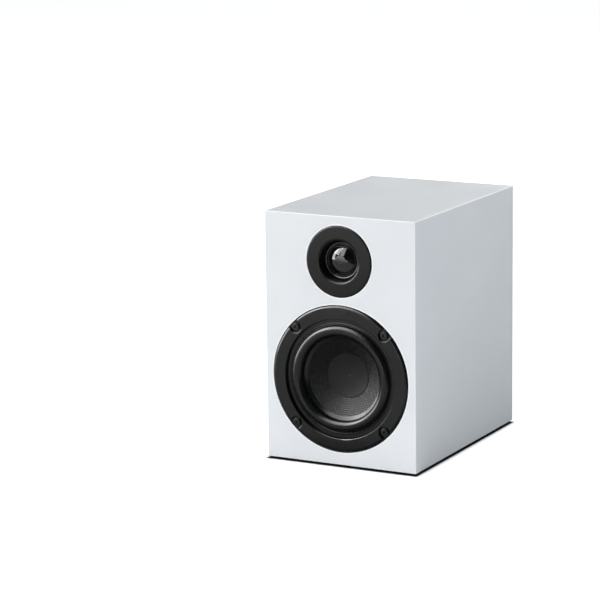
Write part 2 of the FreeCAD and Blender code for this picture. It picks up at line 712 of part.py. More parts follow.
def tweeter_suspension():
    """Flat rim round the dome, then a groove and a small half roll over the chassis seat."""
    body = tweeter_body("tweeter_suspension")
    inner, crest = "dome_radius", "dome_radius + 3.4"
    turned(body, "section", [[
        (inner, "dome_base + 0.1"), ("dome_radius + 1", "dome_base + 0.1"),
        ("dome_radius + 1.4", "dome_base + 1"), ("dome_radius + 2.4", "dome_base + 1.2", "x", crest),
        (crest, "dome_base + 0.3", "x", crest), ("dome_radius + 4.4", "dome_base + 1.2"),
        ("mouth_radius + 0.4", "dome_base + 1.2"), ("mouth_radius + 0.4", "7.6"),
        ("dome_radius + 4.1", "7.6", "x", crest), (crest, "dome_base + 0.6", "x", crest),
        ("dome_radius + 2.7", "7.6"), ("dome_radius + 1.2", "dome_base + 1.3"),
        ("dome_radius + 0.8", "dome_base + 0.4"), (inner, "dome_base + 0.4"),
    ]])


def tweeter_motor():
    front_plate = tweeter_body("tweeter_top_plate")
    front_pad(front_plate, "ring", [("0", "0", "mouth_radius + 3.4"), ("0", "0", "dome_radius + 0.65")],
              "9", "12.4")
    magnet = tweeter_body("tweeter_magnet")
    front_pad(magnet, "ring", [("0", "0", "tweeter_hole - 1.4"), ("0", "0", "dome_radius + 4")],
              "12.4", "20.4")
    yoke = tweeter_body("tweeter_yoke")
    front_pad(yoke, "plate", [("0", "0", "tweeter_hole - 2.4")], "20.4", "24.4")
    front_pad(yoke, "pole", [("0", "0", "dome_radius - 1")], "8.6", "20.4")
    board = tweeter_body("tweeter_terminal_board")
    front_pad(board, "board", [rectangle("-11", "-5", "11", "5")], "24.4", "26")


def terminal_tabs():
    """Push-on tabs of both drivers."""
    body = cabinet_body("terminal_tabs")
    for driver, up, across, start in (
            ("woofer", "woofer_up - magnet_radius - 7.4", 7, "38"),
            ("tweeter", "tweeter_up - 0.4", 6, "26")):
        tabs = [rectangle(f"{side * across} - 2.4", up, f"{side * across} + 2.4", f"{up} + 0.8")
                for side in (-1, 1)]
        front_pad(body, f"{driver}_tabs", tabs, start, f"{start} + 14")


def push_on_connectors():
    """Folded sleeves on the tabs, at the ends of the leads."""
    body = cabinet_body("push_on_connectors")
    for driver, up, across, start in (
            ("woofer", "woofer_up - magnet_radius - 7", 7, "44.4"),
            ("tweeter", "tweeter_up", 6, "30")):
        sleeves, slots = [], []
        for side in (-1, 1):
            middle = side * across
            sleeves.append(rounded_rectangle(f"{middle} - 3.3", f"{up} - 1.5", f"{middle} + 3.3",
                                             f"{up} + 1.5", "0.6"))
            slots.append(rectangle(f"{middle} - 2.5", f"{up} - 0.5", f"{middle} + 2.5", f"{up} + 0.5"))
        front_pad(body, f"{driver}_sleeves", sleeves, start, f"{start} + 12")
        front_cut(body, f"{driver}_slots", slots, start, f"{start} + 10")


# ---- rear connection -----------------------------------------------------------------------

def terminal_body(name, x=0, z="0"):
    return new_body(name, x, "rear_face", f"terminal_axis + {z}")


PLATE_FLOOR = "2.8"
COLLAR_END = "6.8"


def centred_rounded(width, height, radius):
    return rounded_rectangle(f"-({width})", f"-({height})", width, height, radius)


def terminal_gasket():
    body = terminal_body("terminal_gasket")
    front_pad(body, "sheet", [
        centred_rounded("terminal_width / 2 - 0.6", "terminal_height / 2 - 0.6", "5.4"),
        centred_rounded("terminal_width / 2 - 8.4", "terminal_height / 2 - 8.4", "4"),
    ], "0", "1")
    front_cut(body, "screw_holes",
              four_of("terminal_width / 2 - 5", "terminal_height / 2 - 5", "1.9"), "0", "1")


def terminal_plate():
    """Moulded plate with a boss in the cut-out and a shallow recess round the posts."""
    body = terminal_body("terminal_plate")
    front_pad(body, "flange", [centred_rounded("terminal_width / 2", "terminal_height / 2", "6")],
              "1", "4")
    front_pad(body, "boss", [centred_rounded("terminal_width / 2 - 9", "terminal_height / 2 - 9", "3.5")],
              "-10", "1")
    front_cut(body, "recess",
              [centred_rounded("terminal_width / 2 - 11", "terminal_height / 2 - 12", "4")],
              PLATE_FLOOR, "4")
    front_cut(body, "screw_holes",
              four_of("terminal_width / 2 - 5", "terminal_height / 2 - 5", "1.9"), "1", "4")
    front_cut(body, "stud_holes", [(f"{side} * post_offset", "0", "stud_radius + 0.05")
                                   for side in (-1, 1)], "-10", "4")

    def on_outer_rim(edge):
        box = edge.BoundBox
        across, up = value("terminal_width / 2 - 7"), value("terminal_height / 2 - 7")
        reaches = (box.XMin < -across, box.XMax > across, box.ZMin < -up, box.ZMax > up)
        big = edge.Length > 8.5 or max(abs(box.XMin), abs(box.XMax)) > value("terminal_width / 2") - 0.1
        return lies_at_depth(edge, 4) and any(reaches) and big
    round_edges(body, "0.8", on_outer_rim)


def terminal_screws():
    body = terminal_body("terminal_screws")
    across, up = "terminal_width / 2 - 5", "terminal_height / 2 - 5"
    front_pad(body, "heads", four_of(across, up, "3.2"), "4", "6")
    front_pad(body, "shanks", four_of(across, up, "1.55"), "4 - rear_thick", "4")
    slots = []
    for x, z, _ in four_of(across, up, "1"):
        slots.append(rectangle(f"{x} - 1.9", f"{z} - 0.35", f"{x} + 1.9", f"{z} + 0.35"))
    front_cut(body, "slots_across", slots, "5", "6")
    slots = []
    for x, z, _ in four_of(across, up, "1"):
        slots.append(rectangle(f"{x} - 0.35", f"{z} - 1.9", f"{x} + 0.35", f"{z} + 1.9"))
    front_cut(body, "slots_up", slots, "5", "6")
    round_edges(body, "0.6", lambda edge: lies_at_depth(edge, 6) and edge.Length > 6
                and edge.BoundBox.XLength > 2)


def binding_post(name, side):
    """Stud with its banana socket and wire hole, collar, captive washer and screw-down knob."""
    across = f"{side} * post_offset"
    stud = terminal_body(f"{name}_post_stud", across)
    front_pad(stud, "rod", [("0", "0", "stud_radius")], "-board_depth - 7", "knob_end - 0.6")
    front_cut(stud, "socket", [("0", "0", "socket_radius")], "knob_end - 17.6", "knob_end - 0.6")
    side_cut(stud, "wire_hole", [("8.6", "0", "1.1")], "-stud_radius - 1", "stud_radius + 1")

    collar = terminal_body(f"{name}_post_collar", across)
    turned(collar, "section", [[
        ("stud_radius + 0.05", PLATE_FLOOR), ("6.5", PLATE_FLOOR),
        ("6.5", "6", "x", "5.7"), ("5.7", COLLAR_END), ("stud_radius + 0.05", COLLAR_END),
    ]])

    washer = terminal_body(f"{name}_knob_washer", across)
    front_pad(washer, "ring", [("0", "0", "5.4"), ("0", "0", "stud_radius + 0.12")],
              COLLAR_END, f"{COLLAR_END} + 1.4")

    knob = terminal_body(f"{name}_knob", across)
    bore = "stud_radius + 0.1"
    turned(knob, "section", [[
        (bore, f"{COLLAR_END} + 1.4"), ("knob_radius - 0.6", f"{COLLAR_END} + 1.4"),
        ("knob_radius - 0.6", "9.6"), ("knob_radius", "10.2"),
        ("knob_radius", "knob_end - 1.2", "x", "knob_radius - 1.2"), ("knob_radius - 1.2", "knob_end"),
        (bore, "knob_end"),
    ]])
    flute = front_cut(knob, "flute", [("knob_radius + 0.7", "0", "1.3")], "10.8", "knob_end")
    repeat_around(knob, [flute], 12)


def post_spacers():
    """Hexagonal nuts that clamp the studs to the plate and carry the board."""
    body = terminal_body("post_spacers")
    for side in (-1, 1):
        across = f"{side} * post_offset"
        front_pad(body, f"nut_{side + 1}", [polygon(across, "0", "5.77", 6), (across, "0", "stud_radius + 0.05")],
                  "-board_depth", "-10")


def post_nuts():
    body = terminal_body("post_nuts")
    for side in (-1, 1):
        across = f"{side} * post_offset"
        front_pad(body, f"nut_{side + 1}", [polygon(across, "0", "5.77", 6), (across, "0", "stud_radius + 0.05")],
                  "-board_depth - 5.6", "-board_depth - 1.6")


# ---- crossover -----------------------------------------------------------------------------

BOARD_FACE = "-board_depth - 1.6"


def crossover_board():
    body = terminal_body("crossover_board")
    front_pad(body, "board", [centred_rounded("50", "38", "2")], BOARD_FACE, "-board_depth")
    front_cut(body, "stud_holes", [(f"{side} * post_offset", "0", "stud_radius + 0.05")
                                   for side in (-1, 1)], BOARD_FACE, "-board_depth")


def part_on_board(name, x, z):
    """A body whose own origin lies on the board's component side."""
    return new_body(name, x, f"rear_face {BOARD_FACE}", f"terminal_axis + {z}")


def woofer_inductor():
    bobbin = part_on_board("woofer_inductor_bobbin", -31, 19)
    turned(bobbin, "section", [[
        ("3", "0"), ("16.5", "0"), ("16.5", "-1.5"), ("8", "-1.5"),
        ("8", "-18.5"), ("16.5", "-18.5"), ("16.5", "-20"), ("3", "-20"),
    ]])
    winding = part_on_board("woofer_inductor_winding", -31, 19)
    turned(winding, "section", [[("8", "-1.5"), ("15.5", "-1.5"), ("15.5", "-18.5"), ("8", "-18.5")]])


def tweeter_inductor():
    winding = part_on_board("tweeter_inductor_winding", 33, 21)
    turned(winding, "section", [[
        ("5", "0"), ("11", "0"), ("11", "-11"), ("5", "-11"),
    ]])
    round_edges(winding, "1", lambda edge: edge.BoundBox.YLength < 1e-4)


def capacitor(name, x, z, radius, length):
    """Film capacitor lying on the board along X."""
    body = part_on_board(name, x, z)
    side_pad(body, "can", [(f"-{radius}", "0", radius)], "0", length)
    round_edges(body, "1.2", lambda edge: edge.BoundBox.XLength < 1e-4)


def crossover_resistor():
    body = part_on_board("crossover_resistor", 0, 0)
    front_pad(body, "block", [rectangle("-4.5", "-2", "4.5", "34")], "-9", "0")


def lead(name, spots):
    shape_object(name, [round_cord(spots, "lead_radius")])


def leads():
    """Internal leads from the crossover board to the push-on connectors of the drivers."""
    board, woofer_tab, tweeter_tab = f"rear_face {BOARD_FACE}", "front_face + 56.4", "front_face + 42"

    def between(tab, share):
        return f"({board}) * {1 - share:.2f} + ({tab}) * {share}"
    low = "woofer_axis - magnet_radius - 7"
    for name, side in (("woofer_positive_lead", 1), ("woofer_negative_lead", -1)):
        lead(name, [
            (20 * side, board, "terminal_axis - 35.6"),
            (20 * side, between(woofer_tab, 0.19), "terminal_axis - 35.6"),
            (18 * side, between(woofer_tab, 0.4), "terminal_axis - 40"),
            (12 * side, between(woofer_tab, 0.66), "terminal_axis - 38"),
            (7 * side, between(woofer_tab, 0.84), low), (7 * side, woofer_tab, low),
        ])
    for name, side in (("tweeter_positive_lead", 1), ("tweeter_negative_lead", -1)):
        lead(name, [
            (40 * side, board, "terminal_axis + 35.5"),
            (40 * side, between(tweeter_tab, 0.16), "terminal_axis + 35.5"),
            (36 * side, between(tweeter_tab, 0.34), "terminal_axis + 58"),
            (27 * side, between(tweeter_tab, 0.57), "terminal_axis + 84"),
            (13 * side, between(tweeter_tab, 0.79), "tweeter_axis - 9"),
            (6 * side, between(tweeter_tab, 0.91), "tweeter_axis"), (6 * side, tweeter_tab, "tweeter_axis"),
        ])


# ---- build ---------------------------------------------------------------------------------

front_baffle()
wrap_panels()
rear_panel()
rubber_feet()
port_tube()
damping_foam()
woofer_frame()
woofer_gasket()
woofer_screws()
woofer_surround()
woofer_cone()
woofer_dust_cap()
coil_former()
coil_winding()
woofer_spider()
woofer_motor()
woofer_terminals()
tinsel_leads()
tweeter_cover()
tweeter_chassis()
tweeter_screws()
tweeter_dome()
tweeter_coil()
tweeter_suspension()
tweeter_motor()
terminal_tabs()
push_on_connectors()
terminal_gasket()
terminal_plate()
terminal_screws()
binding_post("positive", 1)
binding_post("negative", -1)
post_spacers()
post_nuts()
crossover_board()
woofer_inductor()
tweeter_inductor()
capacitor("woofer_capacitor", -42, -24, "9", "34")
capacitor("tweeter_capacitor", 8, -22, "7.5", "28")
crossover_resistor()
leads()

doc.recompute()
parts = [item for item in doc.Objects
         if item.TypeId == "PartDesign::Body" or item.TypeId == "Part::Feature"]
for item in doc.Objects:
    if "Invalid" in item.State or "Error" in item.State:
        raise RuntimeError(f"{item.Label} did not recompute: {item.State}")
for item in parts:
    if item.Shape.isNull() or not item.Shape.isValid():
        raise RuntimeError(f"{item.Label} has no valid shape")

os.makedirs("parts", exist_ok=True)
for item in parts:
    item.Shape.exportStep(f"parts/{item.Label}.step")
    print(f"{item.Label}: {len(item.Shape.Solids)} solids, {item.Shape.Volume:.1f} mm3")
print(len(parts), "parts")
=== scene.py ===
import json
import math

import bmesh
import bpy
import numpy as np
from mathutils import Matrix, Vector


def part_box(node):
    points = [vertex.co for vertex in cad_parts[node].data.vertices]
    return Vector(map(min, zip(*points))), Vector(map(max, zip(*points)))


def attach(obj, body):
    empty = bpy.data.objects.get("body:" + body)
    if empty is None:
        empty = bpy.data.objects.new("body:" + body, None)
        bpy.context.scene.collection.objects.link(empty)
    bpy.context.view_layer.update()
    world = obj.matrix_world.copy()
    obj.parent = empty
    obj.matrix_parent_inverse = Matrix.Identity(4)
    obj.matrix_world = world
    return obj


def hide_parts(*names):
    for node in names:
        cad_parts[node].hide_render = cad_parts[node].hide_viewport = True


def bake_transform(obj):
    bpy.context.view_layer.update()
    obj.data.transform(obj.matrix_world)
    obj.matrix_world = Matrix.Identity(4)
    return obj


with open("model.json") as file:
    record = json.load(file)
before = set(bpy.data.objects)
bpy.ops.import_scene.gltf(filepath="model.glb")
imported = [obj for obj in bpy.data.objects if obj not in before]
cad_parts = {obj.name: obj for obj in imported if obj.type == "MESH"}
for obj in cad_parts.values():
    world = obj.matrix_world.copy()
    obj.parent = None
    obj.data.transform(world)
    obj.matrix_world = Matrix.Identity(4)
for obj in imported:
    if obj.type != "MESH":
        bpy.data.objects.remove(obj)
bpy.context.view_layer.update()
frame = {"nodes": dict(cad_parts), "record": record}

# A white two-way bookshelf speaker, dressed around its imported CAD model. Metres, +Z up, the
# front looks along -Y.

MM = 0.001

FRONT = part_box("front_baffle")[0].y
CABINET_LOW = Vector((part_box("cabinet_left_side")[0].x, FRONT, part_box("cabinet_bottom")[0].z))
CABINET_HIGH = Vector((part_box("cabinet_right_side")[1].x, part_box("rear_panel")[1].y,
                       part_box("cabinet_top")[1].z))
CABINET_CENTRE = (CABINET_LOW + CABINET_HIGH) / 2
CABINET_HALF = (CABINET_HIGH - CABINET_LOW) / 2


def middle_of(node):
    """Middle of a node's box."""
    low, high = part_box(node)
    return (low + high) / 2


def radius_of(node):
    """Radius of a round node that faces forward, from its box."""
    low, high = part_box(node)
    return (high.x - low.x) / 2


WOOFER_UP = middle_of("woofer_cone").z
TWEETER_UP = middle_of("tweeter_dome").z


# ---- camera, lights and stage ----------------------------------------------------------------

def directions(azimuth, elevation, roll):
    """Right, up and back of a camera that looks at the object from these angles, in degrees."""
    a, e, r = math.radians(azimuth), math.radians(elevation), math.radians(roll)
    back = Vector((math.sin(a) * math.cos(e), -math.cos(a) * math.cos(e), math.sin(e)))
    level = Vector((math.cos(a), math.sin(a), 0))
    upright = back.cross(level)
    right = level * math.cos(r) + upright * math.sin(r)
    up = upright * math.cos(r) - level * math.sin(r)
    return right, up, back


def placed(location, right, up, back):
    """Matrix of an object with these axes at a location."""
    matrix = Matrix((right, up, back)).transposed().to_4x4()
    matrix.translation = location
    return matrix


def make_camera():
    """The photograph's view: the speaker stands right of the middle of the picture."""
    distance, shown_right, shown_up = 2.453, 0.08598, 0.01729
    right, up, back = directions(azimuth=28.13, elevation=11.79, roll=-0.77)
    data = bpy.data.cameras.new("camera")
    data.sensor_width = 36
    data.lens = 158.3
    camera = bpy.data.objects.new("camera", data)
    bpy.context.scene.collection.objects.link(camera)
    location = CABINET_CENTRE + back * distance - right * shown_right + up * shown_up
    camera.matrix_world = placed(location, right, up, back)
    bpy.context.scene.camera = camera


def softbox(name, toward, distance, size, radiance, colour=(1, 1, 1), diffuse=True, glossy=True):
    """A rectangular lamp that faces the cabinet from a direction, given by its radiance."""
    width, height = size
    data = bpy.data.lights.new(name, "AREA")
    data.shape = "RECTANGLE"
    data.size = width
    data.size_y = height
    data.color = colour
    data.energy = radiance * math.pi * width * height
    lamp = bpy.data.objects.new(name, data)
    bpy.context.scene.collection.objects.link(lamp)
    back = Vector(toward).normalized()
    lamp.location = CABINET_CENTRE + back * distance
    lamp.rotation_mode = "QUATERNION"
    lamp.rotation_quaternion = (-back).to_track_quat("-Z", "Y")
    lamp.visible_camera = False
    lamp.visible_diffuse = diffuse
    lamp.visible_glossy = glossy


def make_lights():
    """Three banks on the left for the reflections, and softer lamps for the even light."""
    softbox("left_bank", toward=(-0.925, -0.163, 0.342), distance=1.6, size=(1.70, 1.45),
            radiance=6.5, diffuse=False)
    softbox("upper_bank", toward=(-0.569, -0.478, 0.669), distance=1.6, size=(1.00, 1.45),
            radiance=6.8, diffuse=False)
    softbox("upper_edge", toward=(-0.200, -0.716, 0.669), distance=1.6, size=(0.55, 1.45),
            radiance=3.6, diffuse=False)
    softbox("left_wide", toward=(-0.84, -0.46, 0.30), distance=3.0, size=(2.6, 2.0),
            radiance=1.55, glossy=False)
    softbox("front_wide", toward=(-0.25, -0.90, 0.36), distance=3.2, size=(2.8, 2.0),
            radiance=2.45, glossy=False)
    softbox("overhead", toward=(-0.1, 0.15, 1.0), distance=3.0, size=(2.0, 2.0),
            radiance=1.75, glossy=False)
    softbox("right_fill", toward=(0.85, -0.12, 0.60), distance=1.2, size=(0.9, 0.7),
            radiance=1.7, colour=(0.90, 0.97, 1.04), glossy=False)
    softbox("rear_fill", toward=(0.15, 0.90, 0.4), distance=2.0, size=(1.6, 1.2), radiance=3.5)


def make_surroundings():
    """White where the camera looks past the speaker, dim for diffuse light, dark in reflections."""
    strengths = {"Is Camera Ray": 1.1, "Is Diffuse Ray": 0.22, "Is Glossy Ray": 0.02}
    world = bpy.data.worlds.new("studio")
    bpy.context.scene.world = world
    world.use_nodes = True
    tree = world.node_tree
    background = tree.nodes["Background"]
    background.inputs["Color"].default_value = (0.96, 0.985, 1.0, 1)
    rays = tree.nodes.new("ShaderNodeLightPath")
    terms = []
    for output, strength in strengths.items():
        scaled = tree.nodes.new("ShaderNodeMath")
        scaled.operation = "MULTIPLY"
        scaled.inputs[1].default_value = strength
        tree.links.new(rays.outputs[output], scaled.inputs[0])
        terms.append(scaled.outputs[0])
    total = terms[0]
    for term in terms[1:]:
        adder = tree.nodes.new("ShaderNodeMath")
        tree.links.new(total, adder.inputs[0])
        tree.links.new(term, adder.inputs[1])
        total = adder.outputs[0]
    tree.links.new(total, background.inputs["Strength"])


def flat_square(name, half, height, material):
    """A level square of the stage."""
    mesh = bpy.data.meshes.new(name)
    corners = [(-half, -half, height), (half, -half, height),
               (half, half, height), (-half, half, height)]
    mesh.from_pydata(corners, [], [(0, 1, 2, 3)])
    mesh.materials.append(material)
    square = bpy.data.objects.new(name, mesh)
    bpy.context.scene.collection.objects.link(square)
    return square


def footprint_distance(paint):
    """How far a point of the floor lies outside the cabinet's footprint."""
    tall = 1.0
    from_centre = paint.vector("SUBTRACT", paint.place(), (CABINET_CENTRE.x, CABINET_CENTRE.y, 0))
    reach = paint.vector("ABSOLUTE", from_centre)
    outside = paint.vector("SUBTRACT", reach, (CABINET_HALF.x, CABINET_HALF.y, tall))
    return paint.vector("LENGTH", paint.vector("MAXIMUM", outside, (0, 0, 0)))


def floor_paint():
    """White floor with a painted contact shadow, a thin dark line round the footprint. Away from
    the line it glows, so that no wider shadow shows."""
    white, shadow_colour = (0.9, 0.9, 0.9), (0.02, 0.02, 0.02)
    shadow_width, glow_start, glow = 2 * MM, 8 * MM, 0.75
    paint = Finish("floor_paint", white, roughness=0.9, specular=0.0)
    away = footprint_distance(paint)
    # Painted contact shadow: the floor's colour goes dark within 2 mm of the footprint.
    unshadowed = paint.ranged(away, 0.0, shadow_width, 0.0, 1.0)
    paint.feed("Base Color", paint.mixed(unshadowed, shadow_colour, white))
    paint.glow((1, 1, 1), paint.ranged(away, 0.0, glow_start, 0.0, glow, "SMOOTHSTEP"))
    return paint.material


def mirrored_paint():
    """What the dark parts mirror. The floor is bright in front of the speaker, brighter still
    further away and on a patch to the left, and dark beside, behind and to the right of it."""
    dark, near_glow, far_glow, patch_glow = 0.04, 0.5, 2.5, 1.6
    paint = Finish("mirrored_paint", (0, 0, 0), roughness=1.0, specular=0.0)
    across, behind, _ = paint.split(paint.place())
    # Each range runs between two places of the floor, in metres from the speaker's middle.
    front = paint.ranged(behind, -0.25, -0.13, 1.0, dark, "SMOOTHSTEP")
    patch = paint.math("MULTIPLY", paint.ranged(across, -0.50, -0.28, patch_glow, 0.0, "SMOOTHSTEP"),
                       paint.ranged(behind, -0.40, -0.20, 0.0, 1.0))
    far = paint.ranged(behind, -1.4, -0.90, far_glow, near_glow)
    side = paint.ranged(across, 0.2, 0.38, 1.0, dark, "SMOOTHSTEP")
    brightest = paint.math("MAXIMUM", paint.math("MULTIPLY", front, far), patch)
    paint.glow((1, 1, 1), paint.math("MULTIPLY", brightest, side))
    return paint.material


def bounce_paint():
    """What lights the speaker from below. It glows just in front of the speaker, and its colour is
    darker close beside and behind it, painted shade for the speaker's lower sides."""
    grey, darker, brightest = (0.74, 0.76, 0.79), (0.30, 0.31, 0.33), 0.35
    paint = Finish("floor_bounce", grey, roughness=0.8, specular=0.1)
    across, behind, _ = paint.split(paint.place())
    past_front = paint.ranged(behind, -0.14, -0.10, 0.0, 1.0)
    shaded_beside = paint.ranged(paint.math("ABSOLUTE", across), 0.08, 0.24, 1.0, 0.0)
    # Painted shade: the grey turns darker beside and behind the speaker.
    paint.feed("Base Color", paint.mixed(paint.math("MULTIPLY", past_front, shaded_beside),
                                         grey, darker))
    ahead = paint.math("SUBTRACT", 1.0, past_front)
    near_front = paint.ranged(behind, -0.45, -0.12, 0.0, brightest)
    paint.glow((0.94, 0.97, 1.0), paint.math("MULTIPLY", ahead, near_front))
    return paint.material


def make_floor():
    """Three floors within 0.2 mm: one for the camera, one for bounced light, one for reflections."""
    half, step = 6.0, 0.1 * MM
    seen = flat_square("floor_seen", half, 0.0, floor_paint())
    bounce = flat_square("floor_bounce", half, -2 * step, bounce_paint())
    mirrored = flat_square("floor_mirrored", half, -step, mirrored_paint())
    for floor in (seen, bounce, mirrored):
        floor.visible_camera = floor is seen
        floor.visible_diffuse = floor is bounce
        floor.visible_glossy = floor is mirrored
        floor.visible_shadow = floor is bounce


# ---- material helpers ------------------------------------------------------------------------

class Finish:
    """A procedural material built up around one Principled shader."""

    def __init__(self, name, colour, roughness, metallic=0.0, specular=0.5):
        self.material = bpy.data.materials.new(name)
        self.material.use_nodes = True
        self.tree = self.material.node_tree
        self.shader = self.tree.nodes["Principled BSDF"]
        self.feed("Base Color", (*colour, 1))
        self.feed("Roughness", roughness)
        self.feed("Metallic", metallic)
        self.feed("Specular IOR Level", specular)
        self.spot = None

    def node(self, kind, **properties):
        """A new node with these properties set."""
        made = self.tree.nodes.new(kind)
        for name, setting in properties.items():
            setattr(made, name, setting)
        return made

    def give(self, socket, what):
        """Link an output into a socket, or set the socket to a plain value."""
        if isinstance(what, bpy.types.NodeSocket):
            self.tree.links.new(what, socket)
        else:
            socket.default_value = what

    def feed(self, socket_name, what):
        """Give an output or a plain value to the shader."""
        self.give(self.shader.inputs[socket_name], what)

    def glow(self, colour, strength):
        """Make the surface shine by itself."""
        self.feed("Emission Color", (*colour, 1))
        self.feed("Emission Strength", strength)

    def place(self):
        """Where a point of the piece is, in metres."""
        if self.spot is None:
            self.spot = self.node("ShaderNodeTexCoord").outputs["Object"]
        return self.spot

    def split(self, vector):
        """The X, Y and Z of a vector."""
        made = self.node("ShaderNodeSeparateXYZ")
        self.give(made.inputs[0], vector)
        return tuple(made.outputs)

    def vector(self, operation, first, second=None):
        """A vector operation; lengths and dot products come out as a number."""
        made = self.node("ShaderNodeVectorMath", operation=operation)
        self.give(made.inputs[0], first)
        if second is not None:
            self.give(made.inputs[1], second)
        return made.outputs["Value" if operation in ("LENGTH", "DOT_PRODUCT") else "Vector"]

    def math(self, operation, first, second=None):
        """An operation on numbers."""
        made = self.node("ShaderNodeMath", operation=operation)
        self.give(made.inputs[0], first)
        if second is not None:
            self.give(made.inputs[1], second)
        return made.outputs[0]

    def stretched(self, factors, turn=(0, 0, 0)):
        """The place, turned and scaled along each axis."""
        made = self.node("ShaderNodeMapping", vector_type="TEXTURE")
        self.give(made.inputs["Vector"], self.place())
        made.inputs["Rotation"].default_value = turn
        made.inputs["Scale"].default_value = factors
        return made.outputs[0]

    def noise(self, size, detail=2.0, where=None):
        """Noise whose blotches are about this size, in metres."""
        made = self.node("ShaderNodeTexNoise")
        self.give(made.inputs["Vector"], self.place() if where is None else where)
        made.inputs["Scale"].default_value = 1 / size
        made.inputs["Detail"].default_value = detail
        return made.outputs["Fac"]

    def cells(self, size):
        """Distance to the middle of the nearest cell, for cells of about this size, in metres."""
        made = self.node("ShaderNodeTexVoronoi")
        self.give(made.inputs["Vector"], self.place())
        made.inputs["Scale"].default_value = 1 / size
        return made.outputs["Distance"]

    def ranged(self, what, low, high, to_low, to_high, curve="LINEAR"):
        """A number that goes from to_low to to_high while another goes from low to high."""
        made = self.node("ShaderNodeMapRange", interpolation_type=curve)
        self.give(made.inputs["Value"], what)
        for socket, number in zip(("From Min", "From Max", "To Min", "To Max"),
                                  (low, high, to_low, to_high)):
            made.inputs[socket].default_value = number
        return made.outputs["Result"]

    def spread(self, noise, to_low, to_high):
        """Noise mapped to two values by the middle range that nearly all of it lies in."""
        usual_low, usual_high = 0.3, 0.7
        return self.ranged(noise, usual_low, usual_high, to_low, to_high)

    def mixed(self, share, first, second):
        """A colour between two colours."""
        made = self.node("ShaderNodeMix", data_type="RGBA")
        self.give(made.inputs["Factor"], share)
        colours = [socket for socket in made.inputs if socket.type == "RGBA"]
        for socket, colour in zip(colours, (first, second)):
            self.give(socket, (*colour, 1) if isinstance(colour, tuple) else colour)
        return next(socket for socket in made.outputs if socket.type == "RGBA")

    def bumped(self, height, depth):
        """Relief of a height from 0 to 1 that stands this deep, in metres."""
        made = self.node("ShaderNodeBump")
        made.inputs["Distance"].default_value = depth
        made.inputs["Strength"].default_value = 1.0
        self.give(made.inputs["Height"], height)
        self.feed("Normal", made.outputs[0])

    def edges(self, width):
        """1 on the edges of a piece and 0 on its faces."""
        face, edge = 0.985, 0.85
        rounded = self.node("ShaderNodeBevel", samples=4)
        rounded.inputs["Radius"].default_value = width
        geometry = self.node("ShaderNodeNewGeometry")
        flatness = self.vector("DOT_PRODUCT", rounded.outputs[0], geometry.outputs["Normal"])
        return self.ranged(flatness, face, edge, 0.0, 1.0)


def moulded(name, colour, roughness, grain, depth, edge_wear_and_highlight, specular=0.5):
    """Moulded plastic: fine grain in the relief, faint tone drift, and edges tinted, partly as wear
    from rubbing and partly as a painted highlight.
    """
    drift_size, wear_size, edge_width = 18 * MM, 3 * MM, 0.4 * MM
    darker, lighter, smoother, rougher = 0.88, 1.12, 0.9, 1.1
    finish = Finish(name, colour, roughness, specular=specular)
    fine = finish.noise(grain, detail=3)
    drift = finish.noise(drift_size, detail=2)
    tone = finish.mixed(finish.ranged(drift, 0.35, 0.65, 0.0, 1.0),
                        tuple(c * darker for c in colour),
                        tuple(min(1, c * lighter) for c in colour))
    # Edge colour: partly wear, partly a painted highlight.
    rubbed_and_highlit = finish.math("MULTIPLY", finish.edges(edge_width), finish.noise(wear_size))
    finish.feed("Base Color", finish.mixed(rubbed_and_highlit, tone, edge_wear_and_highlight))
    finish.feed("Roughness", finish.spread(drift, roughness * smoother, roughness * rougher))
    finish.bumped(fine, depth)
    return finish.material


def metal(name, colour, roughness, grain, depth, brushed=(1, 1, 1), coat=0.0):
    """Plated or bare metal with a worked grain and faint stains, and with a coat if one is given."""
    stain_size, stained, coat_roughness = 6 * MM, 0.75, 0.15
    smoother, rougher = 0.8, 1.25
    finish = Finish(name, colour, roughness, metallic=1.0)
    grain_height = finish.noise(grain, detail=4, where=finish.stretched(brushed))
    stain = finish.noise(stain_size, detail=3)
    finish.feed("Base Color", finish.mixed(finish.ranged(stain, 0.4, 0.7, 0.0, 1.0),
                                           colour, tuple(c * stained for c in colour)))
    finish.feed("Roughness", finish.spread(stain, roughness * smoother, roughness * rougher))
    finish.bumped(grain_height, depth)
    if coat:
        finish.feed("Coat Weight", coat)
        finish.feed("Coat Roughness", coat_roughness)
    return finish.material


# ---- materials, one per slot -----------------------------------------------------------------

def cabinet_edges(finish, width):
    """1 along the cabinet's outer edges, 0 on its faces."""
    full_share = 0.3
    from_centre = finish.vector("SUBTRACT", finish.place(), CABINET_CENTRE)
    inside = finish.vector("SUBTRACT", CABINET_HALF, finish.vector("ABSOLUTE", from_centre))
    across, along, up = finish.split(inside)
    nearer = finish.math("MINIMUM", across, along)
    farther = finish.math("MAXIMUM", across, along)
    second = finish.math("MAXIMUM", nearer, finish.math("MINIMUM", farther, up))
    return finish.ranged(second, full_share * width, width, 1.0, 0.0, "SMOOTHSTEP")


